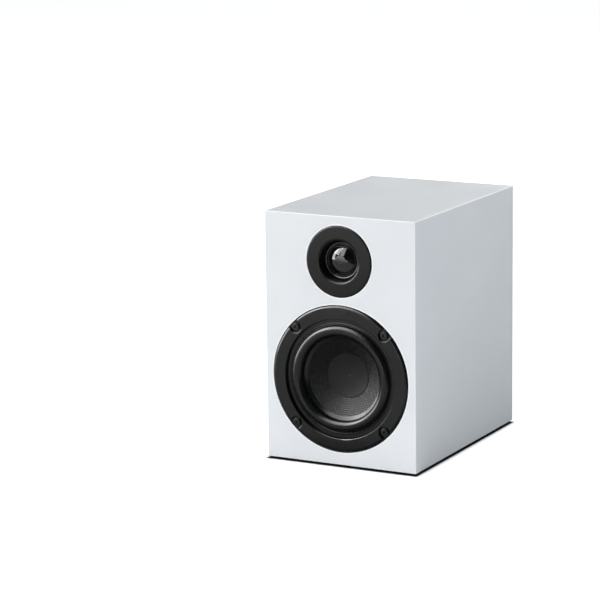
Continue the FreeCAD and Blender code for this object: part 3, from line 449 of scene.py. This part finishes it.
def rebate_masks(finish, node, up):
    """Two masks for a driver's rebate in the baffle: its thin rim, for a painted highlight, and its
    inside, for black painted shade.
    """
    rim_starts, rim_ends = 0.8 * MM, 2.0 * MM
    front_ends, front_gone = 2 * MM, 4 * MM
    wall_starts, wall_gone = 0.30 * MM, 0.36 * MM
    sunk_starts, sunk_full = 0.1 * MM, 0.4 * MM
    baffle_ends, baffle_gone = 20 * MM, 22 * MM
    radius = radius_of(node)
    from_axis = finish.vector("SUBTRACT", finish.place(), (0, 0, up))
    out = finish.vector("LENGTH", finish.vector("MULTIPLY", from_axis, (1, 0, 1)))
    depth = finish.math("SUBTRACT", finish.split(finish.place())[1], FRONT)
    on_front = finish.ranged(depth, front_ends, front_gone, 1.0, 0.0)
    ring = finish.ranged(out, radius + rim_starts, radius + rim_ends, 1.0, 0.0, "SMOOTHSTEP")
    within = finish.ranged(out, radius + wall_starts, radius + wall_gone, 1.0, 0.0)
    sunk = finish.ranged(depth, sunk_starts, sunk_full, 0.0, 1.0)
    in_baffle = finish.ranged(depth, baffle_ends, baffle_gone, 1.0, 0.0)
    inside = finish.math("MULTIPLY", finish.math("MULTIPLY", within, sunk), in_baffle)
    return finish.math("MULTIPLY", ring, on_front), inside


def white_lacquer():
    """Satin lacquer: very faint orange peel and cloudiness, a painted highlight that lightens the
    edges and the rebates' rims, and black painted shade inside the drivers' rebates."""
    cloudy, clear = (0.800, 0.815, 0.828), (0.825, 0.838, 0.850)
    highlight_white, rebate_shade_black = (0.96, 0.965, 0.97), (0.012, 0.012, 0.013)
    finish = Finish("white_lacquer", (0.81, 0.825, 0.84), roughness=0.42, specular=0.4)
    cloud = finish.noise(60 * MM, detail=3)
    tone = finish.mixed(finish.spread(cloud, 0.0, 1.0), cloudy, clear)
    woofer_rim, woofer_rebate_shade = rebate_masks(finish, "woofer_frame", WOOFER_UP)
    tweeter_rim, tweeter_rebate_shade = rebate_masks(finish, "tweeter_cover", TWEETER_UP)
    rims = finish.math("MAXIMUM", woofer_rim, tweeter_rim)
    # Painted highlight: the cabinet's edges and the rebates' rims turn near white.
    edge_wear_and_highlight = finish.math("MAXIMUM", cabinet_edges(finish, 1.1 * MM), rims)
    # Painted shade: the rebates' walls and floors are coloured black.
    inside = finish.math("MAXIMUM", woofer_rebate_shade, tweeter_rebate_shade)
    outside = finish.mixed(edge_wear_and_highlight, tone, highlight_white)
    finish.feed("Base Color", finish.mixed(inside, outside, rebate_shade_black))
    finish.feed("Roughness", finish.spread(cloud, 0.38, 0.46))
    finish.bumped(finish.noise(1.6 * MM, detail=1), 0.006 * MM)
    return finish.material


def black_flange():
    """Satin black casting of the woofer's flange."""
    return moulded("black_flange", colour=(0.005, 0.0052, 0.0056), roughness=0.18, specular=0.55,
                   grain=0.35 * MM, depth=0.002 * MM, edge_wear_and_highlight=(0.010, 0.010, 0.0105))


def black_faceplate():
    """Smooth dull black of the tweeter's plate."""
    return moulded("black_faceplate", colour=(0.002, 0.002, 0.0022), roughness=0.27, specular=0.32,
                   grain=0.3 * MM, depth=0.003 * MM, edge_wear_and_highlight=(0.008, 0.008, 0.008))


def surround_rubber():
    """Butyl rubber with a soft sheen and a trace of green."""
    finish = Finish("surround_rubber", (0.003, 0.0035, 0.0034), roughness=0.24, specular=0.5)
    drift = finish.noise(9 * MM, detail=3)
    finish.feed("Base Color", finish.mixed(drift, (0.0025, 0.003, 0.0029), (0.0045, 0.0052, 0.005)))
    finish.feed("Roughness", finish.spread(drift, 0.21, 0.28))
    finish.bumped(finish.noise(0.25 * MM, detail=2), 0.003 * MM)
    return finish.material


def weave(finish, pitch, turn):
    """Height and over/under pattern of a plain weave across the driver's axis."""
    crown_power, gap_power = 0.7, 0.3
    where = finish.stretched((pitch, pitch, pitch), turn=(0, turn, 0))
    across, _, up = finish.split(where)
    crowns = []
    for run in (across, up):
        centred = finish.math("SUBTRACT", finish.math("FRACT", run), 0.5)
        crowns.append(finish.math("COSINE", finish.math("MULTIPLY", centred, math.pi)))
    cell = finish.math("ADD", finish.math("FLOOR", across), finish.math("FLOOR", up))
    over = finish.math("ABSOLUTE", finish.math("MODULO", cell, 2.0))
    under = finish.math("SUBTRACT", 1.0, over)
    warp = finish.math("MULTIPLY", over, finish.math("POWER", crowns[0], crown_power))
    weft = finish.math("MULTIPLY", under, finish.math("POWER", crowns[1], crown_power))
    along = finish.math("MULTIPLY", crowns[0], crowns[1])
    crown = finish.math("ADD", warp, weft)
    return finish.math("MULTIPLY", crown, finish.math("POWER", along, gap_power)), over


def woven_cone():
    """Black coated glass-fibre weave, whose warp and weft shine differently. The over threads'
    lighter colour is painted sheen, and the dark gaps between crowns are painted shade.
    """
    dark, thread_sheen, rougher_thread = (0.001, 0.001, 0.001), (0.007, 0.007, 0.0074), 0.36
    finish = Finish("woven_cone", (0.003, 0.003, 0.003), roughness=0.36, specular=0.45)
    height, over = weave(finish, 1.25 * MM, math.radians(45))
    blotch = finish.noise(7 * MM, detail=3)
    # Painted sheen on the over threads, fading to painted shade in the gaps between crowns.
    sheen_threads = finish.mixed(over, dark, thread_sheen)
    finish.feed("Base Color", finish.mixed(height, dark, sheen_threads))
    smoother = finish.spread(blotch, 0.24, 0.30)
    rougher = finish.ranged(over, 0.0, 1.0, 0.0, rougher_thread)
    finish.feed("Roughness", finish.math("ADD", smoother, rougher))
    finish.bumped(height, 0.19 * MM)
    return finish.material


def dust_cap_plastic():
    """Dull moulded cap in the middle of the cone."""
    return moulded("dust_cap_plastic", colour=(0.004, 0.004, 0.0042), roughness=0.42, specular=0.4,
                   grain=0.4 * MM, depth=0.004 * MM, edge_wear_and_highlight=(0.006, 0.006, 0.0062))


def dome_gloss():
    """Glossy lacquered dome with the faint print of the cloth below."""
    finish = Finish("dome_gloss", (0.003, 0.003, 0.0034), roughness=0.07, specular=0.8)
    cloth = finish.noise(0.5 * MM, detail=1)
    smear = finish.noise(5 * MM, detail=2)
    finish.feed("Base Color", finish.mixed(smear, (0.002, 0.002, 0.0023), (0.004, 0.004, 0.0044)))
    finish.feed("Roughness", finish.spread(smear, 0.05, 0.10))
    finish.bumped(cloth, 0.001 * MM)
    return finish.material


def tweeter_soft():
    """Thin coated cloth with a slight sheen."""
    finish = Finish("tweeter_soft", (0.002, 0.002, 0.002), roughness=0.18, specular=0.8)
    cloth, over = weave(finish, 0.3 * MM, 0.0)
    finish.feed("Base Color", finish.mixed(over, (0.001, 0.001, 0.001), (0.003, 0.003, 0.003)))
    finish.feed("Roughness", finish.spread(finish.noise(2 * MM), 0.14, 0.22))
    finish.bumped(cloth, 0.003 * MM)
    return finish.material


def black_steel():
    """Black oxide screws, bright on their edges, partly from wear and partly as a painted glint."""
    oxide, bright = (0.007, 0.007, 0.0075), (0.10, 0.10, 0.10)
    finish = Finish("black_steel", (0.008, 0.008, 0.0085), roughness=0.30, specular=0.45)
    # Bright edges: partly wear, partly a painted glint.
    rubbed_and_highlit = finish.math("MULTIPLY", finish.edges(0.25 * MM), finish.noise(1 * MM, detail=3))
    finish.feed("Base Color", finish.mixed(rubbed_and_highlit, oxide, bright))
    finish.feed("Roughness", finish.spread(finish.noise(1.5 * MM), 0.26, 0.36))
    finish.bumped(finish.noise(0.2 * MM), 0.006 * MM)
    return finish.material


def foot_rubber():
    """Dull rubber of the feet."""
    return moulded("foot_rubber", colour=(0.022, 0.022, 0.022), roughness=0.75,
                   grain=0.5 * MM, depth=0.02 * MM, edge_wear_and_highlight=(0.06, 0.06, 0.06))


def port_plastic():
    """Satin black moulding of the bass port and the tweeter's chassis."""
    return moulded("port_plastic", colour=(0.020, 0.020, 0.021), roughness=0.5,
                   grain=0.4 * MM, depth=0.015 * MM, edge_wear_and_highlight=(0.06, 0.06, 0.06))


def terminal_plastic():
    """Spark-eroded black moulding."""
    return moulded("terminal_plastic", colour=(0.018, 0.018, 0.019), roughness=0.55,
                   grain=0.6 * MM, depth=0.03 * MM, edge_wear_and_highlight=(0.06, 0.06, 0.06))


def black_plastic():
    """Glossy black of the negative post's knob and collar, and of the choke's bobbin."""
    return moulded("black_plastic", colour=(0.015, 0.015, 0.016), roughness=0.28,
                   grain=0.8 * MM, depth=0.004 * MM, edge_wear_and_highlight=(0.06, 0.06, 0.06))


def red_plastic():
    """Glossy red of the positive post's knob and collar."""
    return moulded("red_plastic", colour=(0.50, 0.012, 0.014), roughness=0.22,
                   grain=0.8 * MM, depth=0.004 * MM, edge_wear_and_highlight=(0.60, 0.06, 0.05))


def foam(name, dark, light, pore, roughness):
    """Open pores as dark pits between lighter walls."""
    pit, wall, shaded_share = 0.15, 0.55, 0.7
    finish = Finish(name, light, roughness, specular=0.15)
    coarse = finish.noise(pore * 6, detail=3)
    walls = finish.ranged(finish.cells(pore), pit, wall, 0.0, 1.0)
    shaded = finish.math("MULTIPLY", walls, finish.spread(coarse, shaded_share, 1.0))
    rougher = min(1, roughness * 1.05)
    finish.feed("Base Color", finish.mixed(shaded, dark, light))
    finish.feed("Roughness", finish.spread(coarse, roughness * 0.92, rougher))
    finish.bumped(walls, pore * 0.5)
    return finish.material


def grey_foam():
    """Damping foam on the cabinet's walls."""
    return foam("grey_foam", dark=(0.05, 0.05, 0.055), light=(0.24, 0.24, 0.25),
                pore=1.2 * MM, roughness=0.9)


def black_foam():
    """Fine foam of the two gaskets."""
    return foam("black_foam", dark=(0.008, 0.008, 0.008), light=(0.03, 0.03, 0.03),
                pore=0.4 * MM, roughness=0.85)


def spider_cloth():
    """Amber resin-treated cloth."""
    weft_thread, warp_thread = (0.40, 0.25, 0.09), (0.56, 0.40, 0.18)
    resin_colour, most_resin = (0.30, 0.17, 0.05), 0.5
    finish = Finish("spider_cloth", (0.5, 0.34, 0.14), roughness=0.6, specular=0.3)
    cloth, over = weave(finish, 0.45 * MM, 0.0)
    resin = finish.noise(4 * MM, detail=3)
    threads = finish.mixed(over, weft_thread, warp_thread)
    soaked = finish.ranged(resin, 0.4, 0.7, 0, most_resin)
    finish.feed("Base Color", finish.mixed(soaked, threads, resin_colour))
    finish.feed("Roughness", finish.spread(resin, 0.5, 0.7))
    finish.bumped(cloth, 0.05 * MM)
    return finish.material


def former_aluminium():
    """Thin rolled sheet of the woofer's voice-coil former."""
    return metal("former_aluminium", colour=(0.76, 0.76, 0.77), roughness=0.35,
                 grain=0.3 * MM, depth=0.004 * MM, brushed=(1, 12, 1))


def copper_wire():
    """Enamelled copper."""
    return metal("copper_wire", colour=(0.70, 0.28, 0.12), roughness=0.28,
                 grain=0.4 * MM, depth=0.004 * MM, coat=0.6)


def copper_braid():
    """Bare strands of the tinsel leads."""
    return metal("copper_braid", colour=(0.62, 0.30, 0.16), roughness=0.42,
                 grain=0.25 * MM, depth=0.03 * MM)


def zinc_steel():
    """Zinc-plated steel of the magnets' plates and yokes, the spacers and the nuts."""
    return metal("zinc_steel", colour=(0.62, 0.62, 0.60), roughness=0.38,
                 grain=0.5 * MM, depth=0.006 * MM)


def gold_brass():
    """Gold-plated turned brass of the posts and their washers."""
    return metal("gold_brass", colour=(0.86, 0.62, 0.25), roughness=0.22,
                 grain=0.3 * MM, depth=0.003 * MM, brushed=(1, 8, 1))


def tinned_brass():
    """Tin-plated brass of the tabs and the push-on connectors."""
    return metal("tinned_brass", colour=(0.72, 0.68, 0.58), roughness=0.33,
                 grain=0.3 * MM, depth=0.004 * MM)


def ferrite():
    """Ground grey ceramic with small chips along its edges."""
    finish = Finish("ferrite", (0.07, 0.07, 0.075), roughness=0.6)
    chips = finish.math("MULTIPLY", finish.edges(0.8 * MM), finish.cells(1.5 * MM))
    grit = finish.noise(0.6 * MM, detail=4)
    ground = finish.mixed(grit, (0.055, 0.055, 0.06), (0.085, 0.085, 0.09))
    finish.feed("Base Color", finish.mixed(chips, ground, (0.03, 0.03, 0.03)))
    finish.feed("Roughness", finish.spread(grit, 0.5, 0.7))
    finish.bumped(grit, 0.02 * MM)
    return finish.material


def brown_board():
    """Phenolic paper board."""
    finish = Finish("brown_board", (0.30, 0.16, 0.07), roughness=0.5)
    fibre = finish.noise(0.8 * MM, detail=4, where=finish.stretched((1, 6, 1)))
    finish.feed("Base Color", finish.mixed(fibre, (0.22, 0.11, 0.045), (0.38, 0.22, 0.10)))
    finish.feed("Roughness", finish.spread(fibre, 0.42, 0.58))
    finish.bumped(fibre, 0.01 * MM)
    return finish.material


def green_board():
    """Solder mask over glass cloth."""
    finish = Finish("green_board", (0.02, 0.15, 0.06), roughness=0.32)
    cloth, over = weave(finish, 0.7 * MM, 0.0)
    finish.feed("Base Color", finish.mixed(over, (0.016, 0.13, 0.05), (0.024, 0.17, 0.07)))
    finish.feed("Roughness", finish.spread(finish.noise(5 * MM), 0.26, 0.4))
    finish.bumped(cloth, 0.01 * MM)
    return finish.material


def capacitor_sleeve():
    """Yellow film round the capacitors."""
    return moulded("capacitor_sleeve", colour=(0.75, 0.60, 0.08), roughness=0.3,
                   grain=1.2 * MM, depth=0.01 * MM, edge_wear_and_highlight=(0.82, 0.72, 0.3))


def resistor_ceramic():
    """Off-white ceramic case."""
    return moulded("resistor_ceramic", colour=(0.78, 0.77, 0.72), roughness=0.75,
                   grain=0.5 * MM, depth=0.04 * MM, edge_wear_and_highlight=(0.7, 0.7, 0.66))


def red_wire():
    """Red insulation."""
    return moulded("red_wire", colour=(0.45, 0.02, 0.02), roughness=0.4,
                   grain=1.0 * MM, depth=0.006 * MM, edge_wear_and_highlight=(0.5, 0.05, 0.05))


def black_wire():
    """Black insulation."""
    return moulded("black_wire", colour=(0.018, 0.018, 0.018), roughness=0.4,
                   grain=1.0 * MM, depth=0.006 * MM, edge_wear_and_highlight=(0.04, 0.04, 0.04))


MAKERS = [white_lacquer, black_flange, black_faceplate, surround_rubber, woven_cone,
          dust_cap_plastic, dome_gloss, tweeter_soft, black_steel, foot_rubber, port_plastic,
          terminal_plastic, black_plastic, red_plastic, grey_foam, black_foam, spider_cloth,
          former_aluminium, copper_wire, copper_braid, zinc_steel, gold_brass, tinned_brass,
          ferrite, brown_board, green_board, capacitor_sleeve, resistor_ceramic, red_wire,
          black_wire]


def paint_nodes(finishes):
    """Give every CAD node the procedural finish of its slot."""
    for part in frame["record"]["subparts"]:
        node = frame["nodes"][part["node"]]
        for holder in node.material_slots:
            holder.material = finishes[part["material_slot"]]


# ---- pieces built here -----------------------------------------------------------------------

def new_piece(name, mesh, finish):
    """A smooth-shaded piece of the speaker."""
    mesh.name = name
    for face in mesh.polygons:
        face.use_smooth = True
    mesh.materials.append(finish)
    piece = bpy.data.objects.new(name, mesh)
    bpy.context.scene.collection.objects.link(piece)
    return piece


def finished_mesh(build):
    """Turn a bmesh into a mesh whose faces all point out of the piece."""
    bmesh.ops.recalc_face_normals(build, faces=build.faces)
    mesh = bpy.data.meshes.new("piece")
    build.to_mesh(mesh)
    build.free()
    return mesh


def arc(centre, radius, first, last, count=24):
    """Points of a circular arc in a (radius, depth) profile; angles in degrees from +radius."""
    points = []
    for index in range(count + 1):
        angle = math.radians(first + (last - first) * index / count)
        points.append((centre[0] + radius * math.cos(angle), centre[1] + radius * math.sin(angle)))
    return points


def softened(points, spacing, width):
    """The line through the points, evenly spaced, with every corner eased over a width."""
    line = np.array(points, float)
    run = np.concatenate([[0], np.cumsum(np.linalg.norm(np.diff(line, axis=0), axis=1))])
    count = int(run[-1] / spacing) + 1
    spots = np.linspace(0, run[-1], count)
    even = np.stack([np.interp(spots, run, line[:, axis]) for axis in (0, 1)], axis=1)
    half = max(1, int(width / spacing / 2))
    eased = even.copy()
    for index in range(1, count - 1):
        reach = min(half, index, count - 1 - index)
        eased[index] = even[index - reach:index + reach + 1].mean(axis=0)
    return eased


def with_thickness(line, thickness):
    """A closed profile: the line, and the line shifted to its deeper side."""
    along = np.gradient(line, axis=0)
    along /= np.linalg.norm(along, axis=1)[:, None]
    deeper = np.stack([-along[:, 1], along[:, 0]], axis=1)
    if deeper[0, 1] < 0:
        deeper = -deeper
    return np.concatenate([line, (line + deeper * thickness)[::-1]])


def revolved(profile, up, steps):
    """Mesh of a closed (radius, depth) profile in millimetres turned about a driver's axis."""
    count = len(profile)
    turns = np.linspace(0, 2 * math.pi, steps, endpoint=False)
    radius, depth = profile[:, 0] * MM, profile[:, 1] * MM
    points = np.empty((steps, count, 3))
    points[:, :, 0] = np.cos(turns)[:, None] * radius
    points[:, :, 1] = FRONT + depth
    points[:, :, 2] = up + np.sin(turns)[:, None] * radius
    faces = []
    for turn in range(steps):
        here, there = turn * count, (turn + 1) % steps * count
        for index in range(count):
            following = (index + 1) % count
            faces.append((here + index, here + following, there + following, there + index))
    ring = bpy.data.meshes.new("ring")
    ring.from_pydata(points.reshape(-1, 3).tolist(), [], faces)
    build = bmesh.new()
    build.from_mesh(ring)
    bpy.data.meshes.remove(ring)
    return finished_mesh(build)


def bend_by_radius(piece):
    """Bake a ring's placement into its mesh."""
    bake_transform(piece)


def woofer_surround(finish):
    """Flat lip with a fine bead, half roll and inner lip of the rubber surround, in millimetres."""
    crest_radius, lip_depth, bead_depth, rubber = 44.25, 2.0, 1.5, 0.55
    front = [(54.7, lip_depth), (51.3, lip_depth), (50.7, bead_depth), (50.1, lip_depth)]
    front += arc((crest_radius, 3.18), 5.38, -12.7, -90)
    front += arc((crest_radius, 3.31), 5.51, -90, -197.8, count=30)[1:]
    front += [(35.7, 6.82)]
    profile = with_thickness(softened(front, spacing=0.12, width=0.7), rubber)
    piece = new_piece("woofer_surround_roll", revolved(profile, WOOFER_UP, steps=288), finish)
    bend_by_radius(piece)
    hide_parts("woofer_surround")


def woofer_spider(finish):
    """Corrugated cloth disc behind the cone, in millimetres."""
    rings, points_per_ring, wave, face, cloth = 4, 16, 0.9, 29.2, 0.5
    inside, outside = 14.0, 32.2
    count = rings * points_per_ring
    line = [(12.85, face)]
    for index in range(count + 1):
        share = index / count
        swing = -wave * math.sin(share * rings * 2 * math.pi)
        line.append((inside + (outside - inside) * share, face + swing))
    line += [(35.9, face + 0.2)]
    profile = with_thickness(softened(line, spacing=0.25, width=0.8), cloth)
    piece = new_piece("woofer_spider_cloth", revolved(profile, WOOFER_UP, steps=144), finish)
    bend_by_radius(piece)
    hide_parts("woofer_spider")


def tweeter_suspension(finish):
    """Flat rim round the tweeter's dome, a groove and a small half roll, in millimetres."""
    cloth = 0.3
    front = [(13.02, 6.12), (13.3, 6.2), (14.1, 7.6), (14.7, 7.7)]
    front += arc((16.2, 7.25), 1.25, -180, 0) + [(17.6, 7.3), (20.9, 7.25)]
    profile = with_thickness(softened(front, spacing=0.06, width=0.24)[::-1], cloth)
    piece = new_piece("tweeter_suspension_roll", revolved(profile, TWEETER_UP, steps=192), finish)
    bend_by_radius(piece)
    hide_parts("tweeter_suspension")


def smooth_line(points):
    """A NURBS line along points, sampled as Blender draws it."""
    curve = bpy.data.curves.new("route", "CURVE")
    curve.dimensions = "3D"
    curve.resolution_u = 16
    spline = curve.splines.new("NURBS")
    spline.points.add(len(points) - 1)
    for spot, point in zip(spline.points, points):
        spot.co = (*point, 1)
    spline.order_u = 3
    spline.use_endpoint_u = True
    holder = bpy.data.objects.new("route", curve)
    mesh = bpy.data.meshes.new_from_object(holder)
    line = np.array([vertex.co for vertex in mesh.vertices])
    bpy.data.objects.remove(holder)
    bpy.data.curves.remove(curve)
    bpy.data.meshes.remove(mesh)
    return line


def sweep(build, line, radius, sides, closed=False):
    """Add a round tube along a line to a bmesh."""
    steep = 0.9
    rings = []
    count = len(line)
    for index, spot in enumerate(line):
        before = line[index - 1] if (index or closed) else line[0]
        after = line[(index + 1) % count] if (index < count - 1 or closed) else line[-1]
        along = Vector(after - before).normalized()
        aside = Vector((0.0, 0.0, 1.0)) if abs(along.z) < steep else Vector((1.0, 0.0, 0.0))
        side = along.cross(aside).normalized()
        other = along.cross(side)
        ring = []
        for step in range(sides):
            angle = 2 * math.pi * step / sides
            offset = side * math.cos(angle) + other * math.sin(angle)
            ring.append(build.verts.new(Vector(spot) + offset * radius))
        rings.append(ring)
    pairs = list(zip(rings, rings[1:]))
    if closed:
        pairs.append((rings[-1], rings[0]))
    for first, second in pairs:
        for step in range(sides):
            following = (step + 1) % sides
            build.faces.new((first[step], first[following], second[following], second[step]))
    if not closed:
        build.faces.new(list(reversed(rings[0])))
        build.faces.new(rings[-1])


def tinsel_leads(finish):
    """Three twisted strands each, from the terminal board to the cone; the twist is in radians."""
    strands, strand_radius, twist, sides = 3, 0.28 * MM, 9, 8
    build = bmesh.new()
    for side in (-1, 1):
        route = [(7 * side, 23.5, -41.6), (7 * side, 20.5, -39), (6.5 * side, 19.5, -32),
                 (6 * side, 15.1, -24.3)]
        line = smooth_line([(x * MM, FRONT + depth * MM, WOOFER_UP + z * MM)
                            for x, depth, z in route])
        for strand in range(strands):
            spots = []
            for index, spot in enumerate(line):
                angle = twist * index / len(line) + 2 * math.pi * strand / strands
                spots.append(spot + np.array((math.cos(angle), 0, math.sin(angle))) * strand_radius)
            sweep(build, np.array(spots), strand_radius, sides)
    piece = new_piece("tinsel_strands", finished_mesh(build), finish)
    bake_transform(piece)
    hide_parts("woofer_tinsel_leads")


def wound_coil(node, name, bore, wire, finish):
    """Layers of round turns that fill a winding's box."""
    steps, sides = 36, 6
    low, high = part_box(node)
    centre = middle_of(node)
    outside = radius_of(node)
    layers = int((outside - bore) / wire)
    turns = int((high.y - low.y) / wire)
    pitch = (high.y - low.y) / turns
    angles = np.linspace(0, 2 * math.pi, steps, endpoint=False)
    build = bmesh.new()
    for layer in range(layers):
        radius = outside - wire * (layer + 0.5)
        for turn in range(turns):
            depth = low.y + pitch * (turn + 0.5)
            ring = np.stack([centre.x + np.cos(angles) * radius, np.full(steps, depth),
                             centre.z + np.sin(angles) * radius], axis=1)
            sweep(build, ring, wire / 2, sides, closed=True)
    piece = new_piece(name, finished_mesh(build), finish)
    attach(piece, "cabinet")
    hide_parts(node)


def separate_boxes(node):
    """The boxes of a node's separate solids, always in the same order."""
    source = bmesh.new()
    source.from_mesh(frame["nodes"][node].data)
    bmesh.ops.remove_doubles(source, verts=source.verts, dist=0.01 * MM)
    left = set(source.verts)
    boxes = []
    while left:
        corners, edge = [], [left.pop()]
        while edge:
            vertex = edge.pop()
            corners.append(tuple(vertex.co))
            for link in vertex.link_edges:
                other = link.other_vert(vertex)
                if other in left:
                    left.discard(other)
                    edge.append(other)
        boxes.append((np.min(corners, axis=0).tolist(), np.max(corners, axis=0).tolist()))
    source.free()
    return sorted(boxes)


def damping_foam(finish):
    """Foam sheets with soft edges and a slightly uneven face, one for each sheet in the CAD."""
    build = bmesh.new()
    rng = np.random.default_rng(seed=7)
    for low, high in separate_boxes("damping_foam"):
        foam_sheet(build, np.array(low), np.array(high), rng)
    piece = new_piece("damping_foam_sheets", finished_mesh(build), finish)
    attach(piece, "cabinet")
    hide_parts("damping_foam")


def foam_sheet(build, low, high, rng):
    """A box of foam: rounded edges, and waves across its faces."""
    cell, edge_radius, wave_depth = 5 * MM, 3 * MM, 1.0 * MM
    long_wave, high_wave, smallest = 6 * MM, 7 * MM, 1e-9
    size = high - low
    centre = (low + high) / 2
    counts = np.maximum(2, np.round(size / cell)).astype(int)
    phase = rng.uniform(0, 2 * math.pi, 3)
    made = {}

    def corner(i, j, k):
        if (i, j, k) not in made:
            spot = low + size * np.array((i, j, k)) / counts
            inner = np.clip(spot, low + edge_radius, high - edge_radius)
            away = spot - inner
            length = np.linalg.norm(away)
            if length > smallest:
                spot = inner + away / length * edge_radius
            wave = math.sin(spot[1] / long_wave + phase[0]) * math.sin(spot[2] / high_wave + phase[1])
            spot = spot + (centre - spot) / np.abs(size).max() * wave_depth * (1 + wave)
            made[(i, j, k)] = build.verts.new(spot)
        return made[(i, j, k)]

    for axis in range(3):
        first, second = (axis + 1) % 3, (axis + 2) % 3
        for level in (0, counts[axis]):
            for a in range(counts[first]):
                for b in range(counts[second]):
                    around = []
                    for da, db in ((0, 0), (1, 0), (1, 1), (0, 1)):
                        index = [0, 0, 0]
                        index[axis], index[first], index[second] = level, a + da, b + db
                        around.append(corner(*index))
                    build.faces.new(around)


# ---- the scene -------------------------------------------------------------------------------

bpy.context.scene.view_settings.view_transform = "Standard"
make_camera()
make_lights()
make_surroundings()
make_floor()
finishes = {maker.__name__: maker() for maker in MAKERS}
paint_nodes(finishes)
woofer_surround(finishes["surround_rubber"])
woofer_spider(finishes["spider_cloth"])
tweeter_suspension(finishes["tweeter_soft"])
tinsel_leads(finishes["copper_braid"])
wound_coil("woofer_inductor_winding", "woofer_inductor_turns", bore=8 * MM, wire=1.0 * MM,
           finish=finishes["copper_wire"])
wound_coil("tweeter_inductor_winding", "tweeter_inductor_turns", bore=5 * MM, wire=0.75 * MM,
           finish=finishes["copper_wire"])
damping_foam(finishes["grey_foam"])
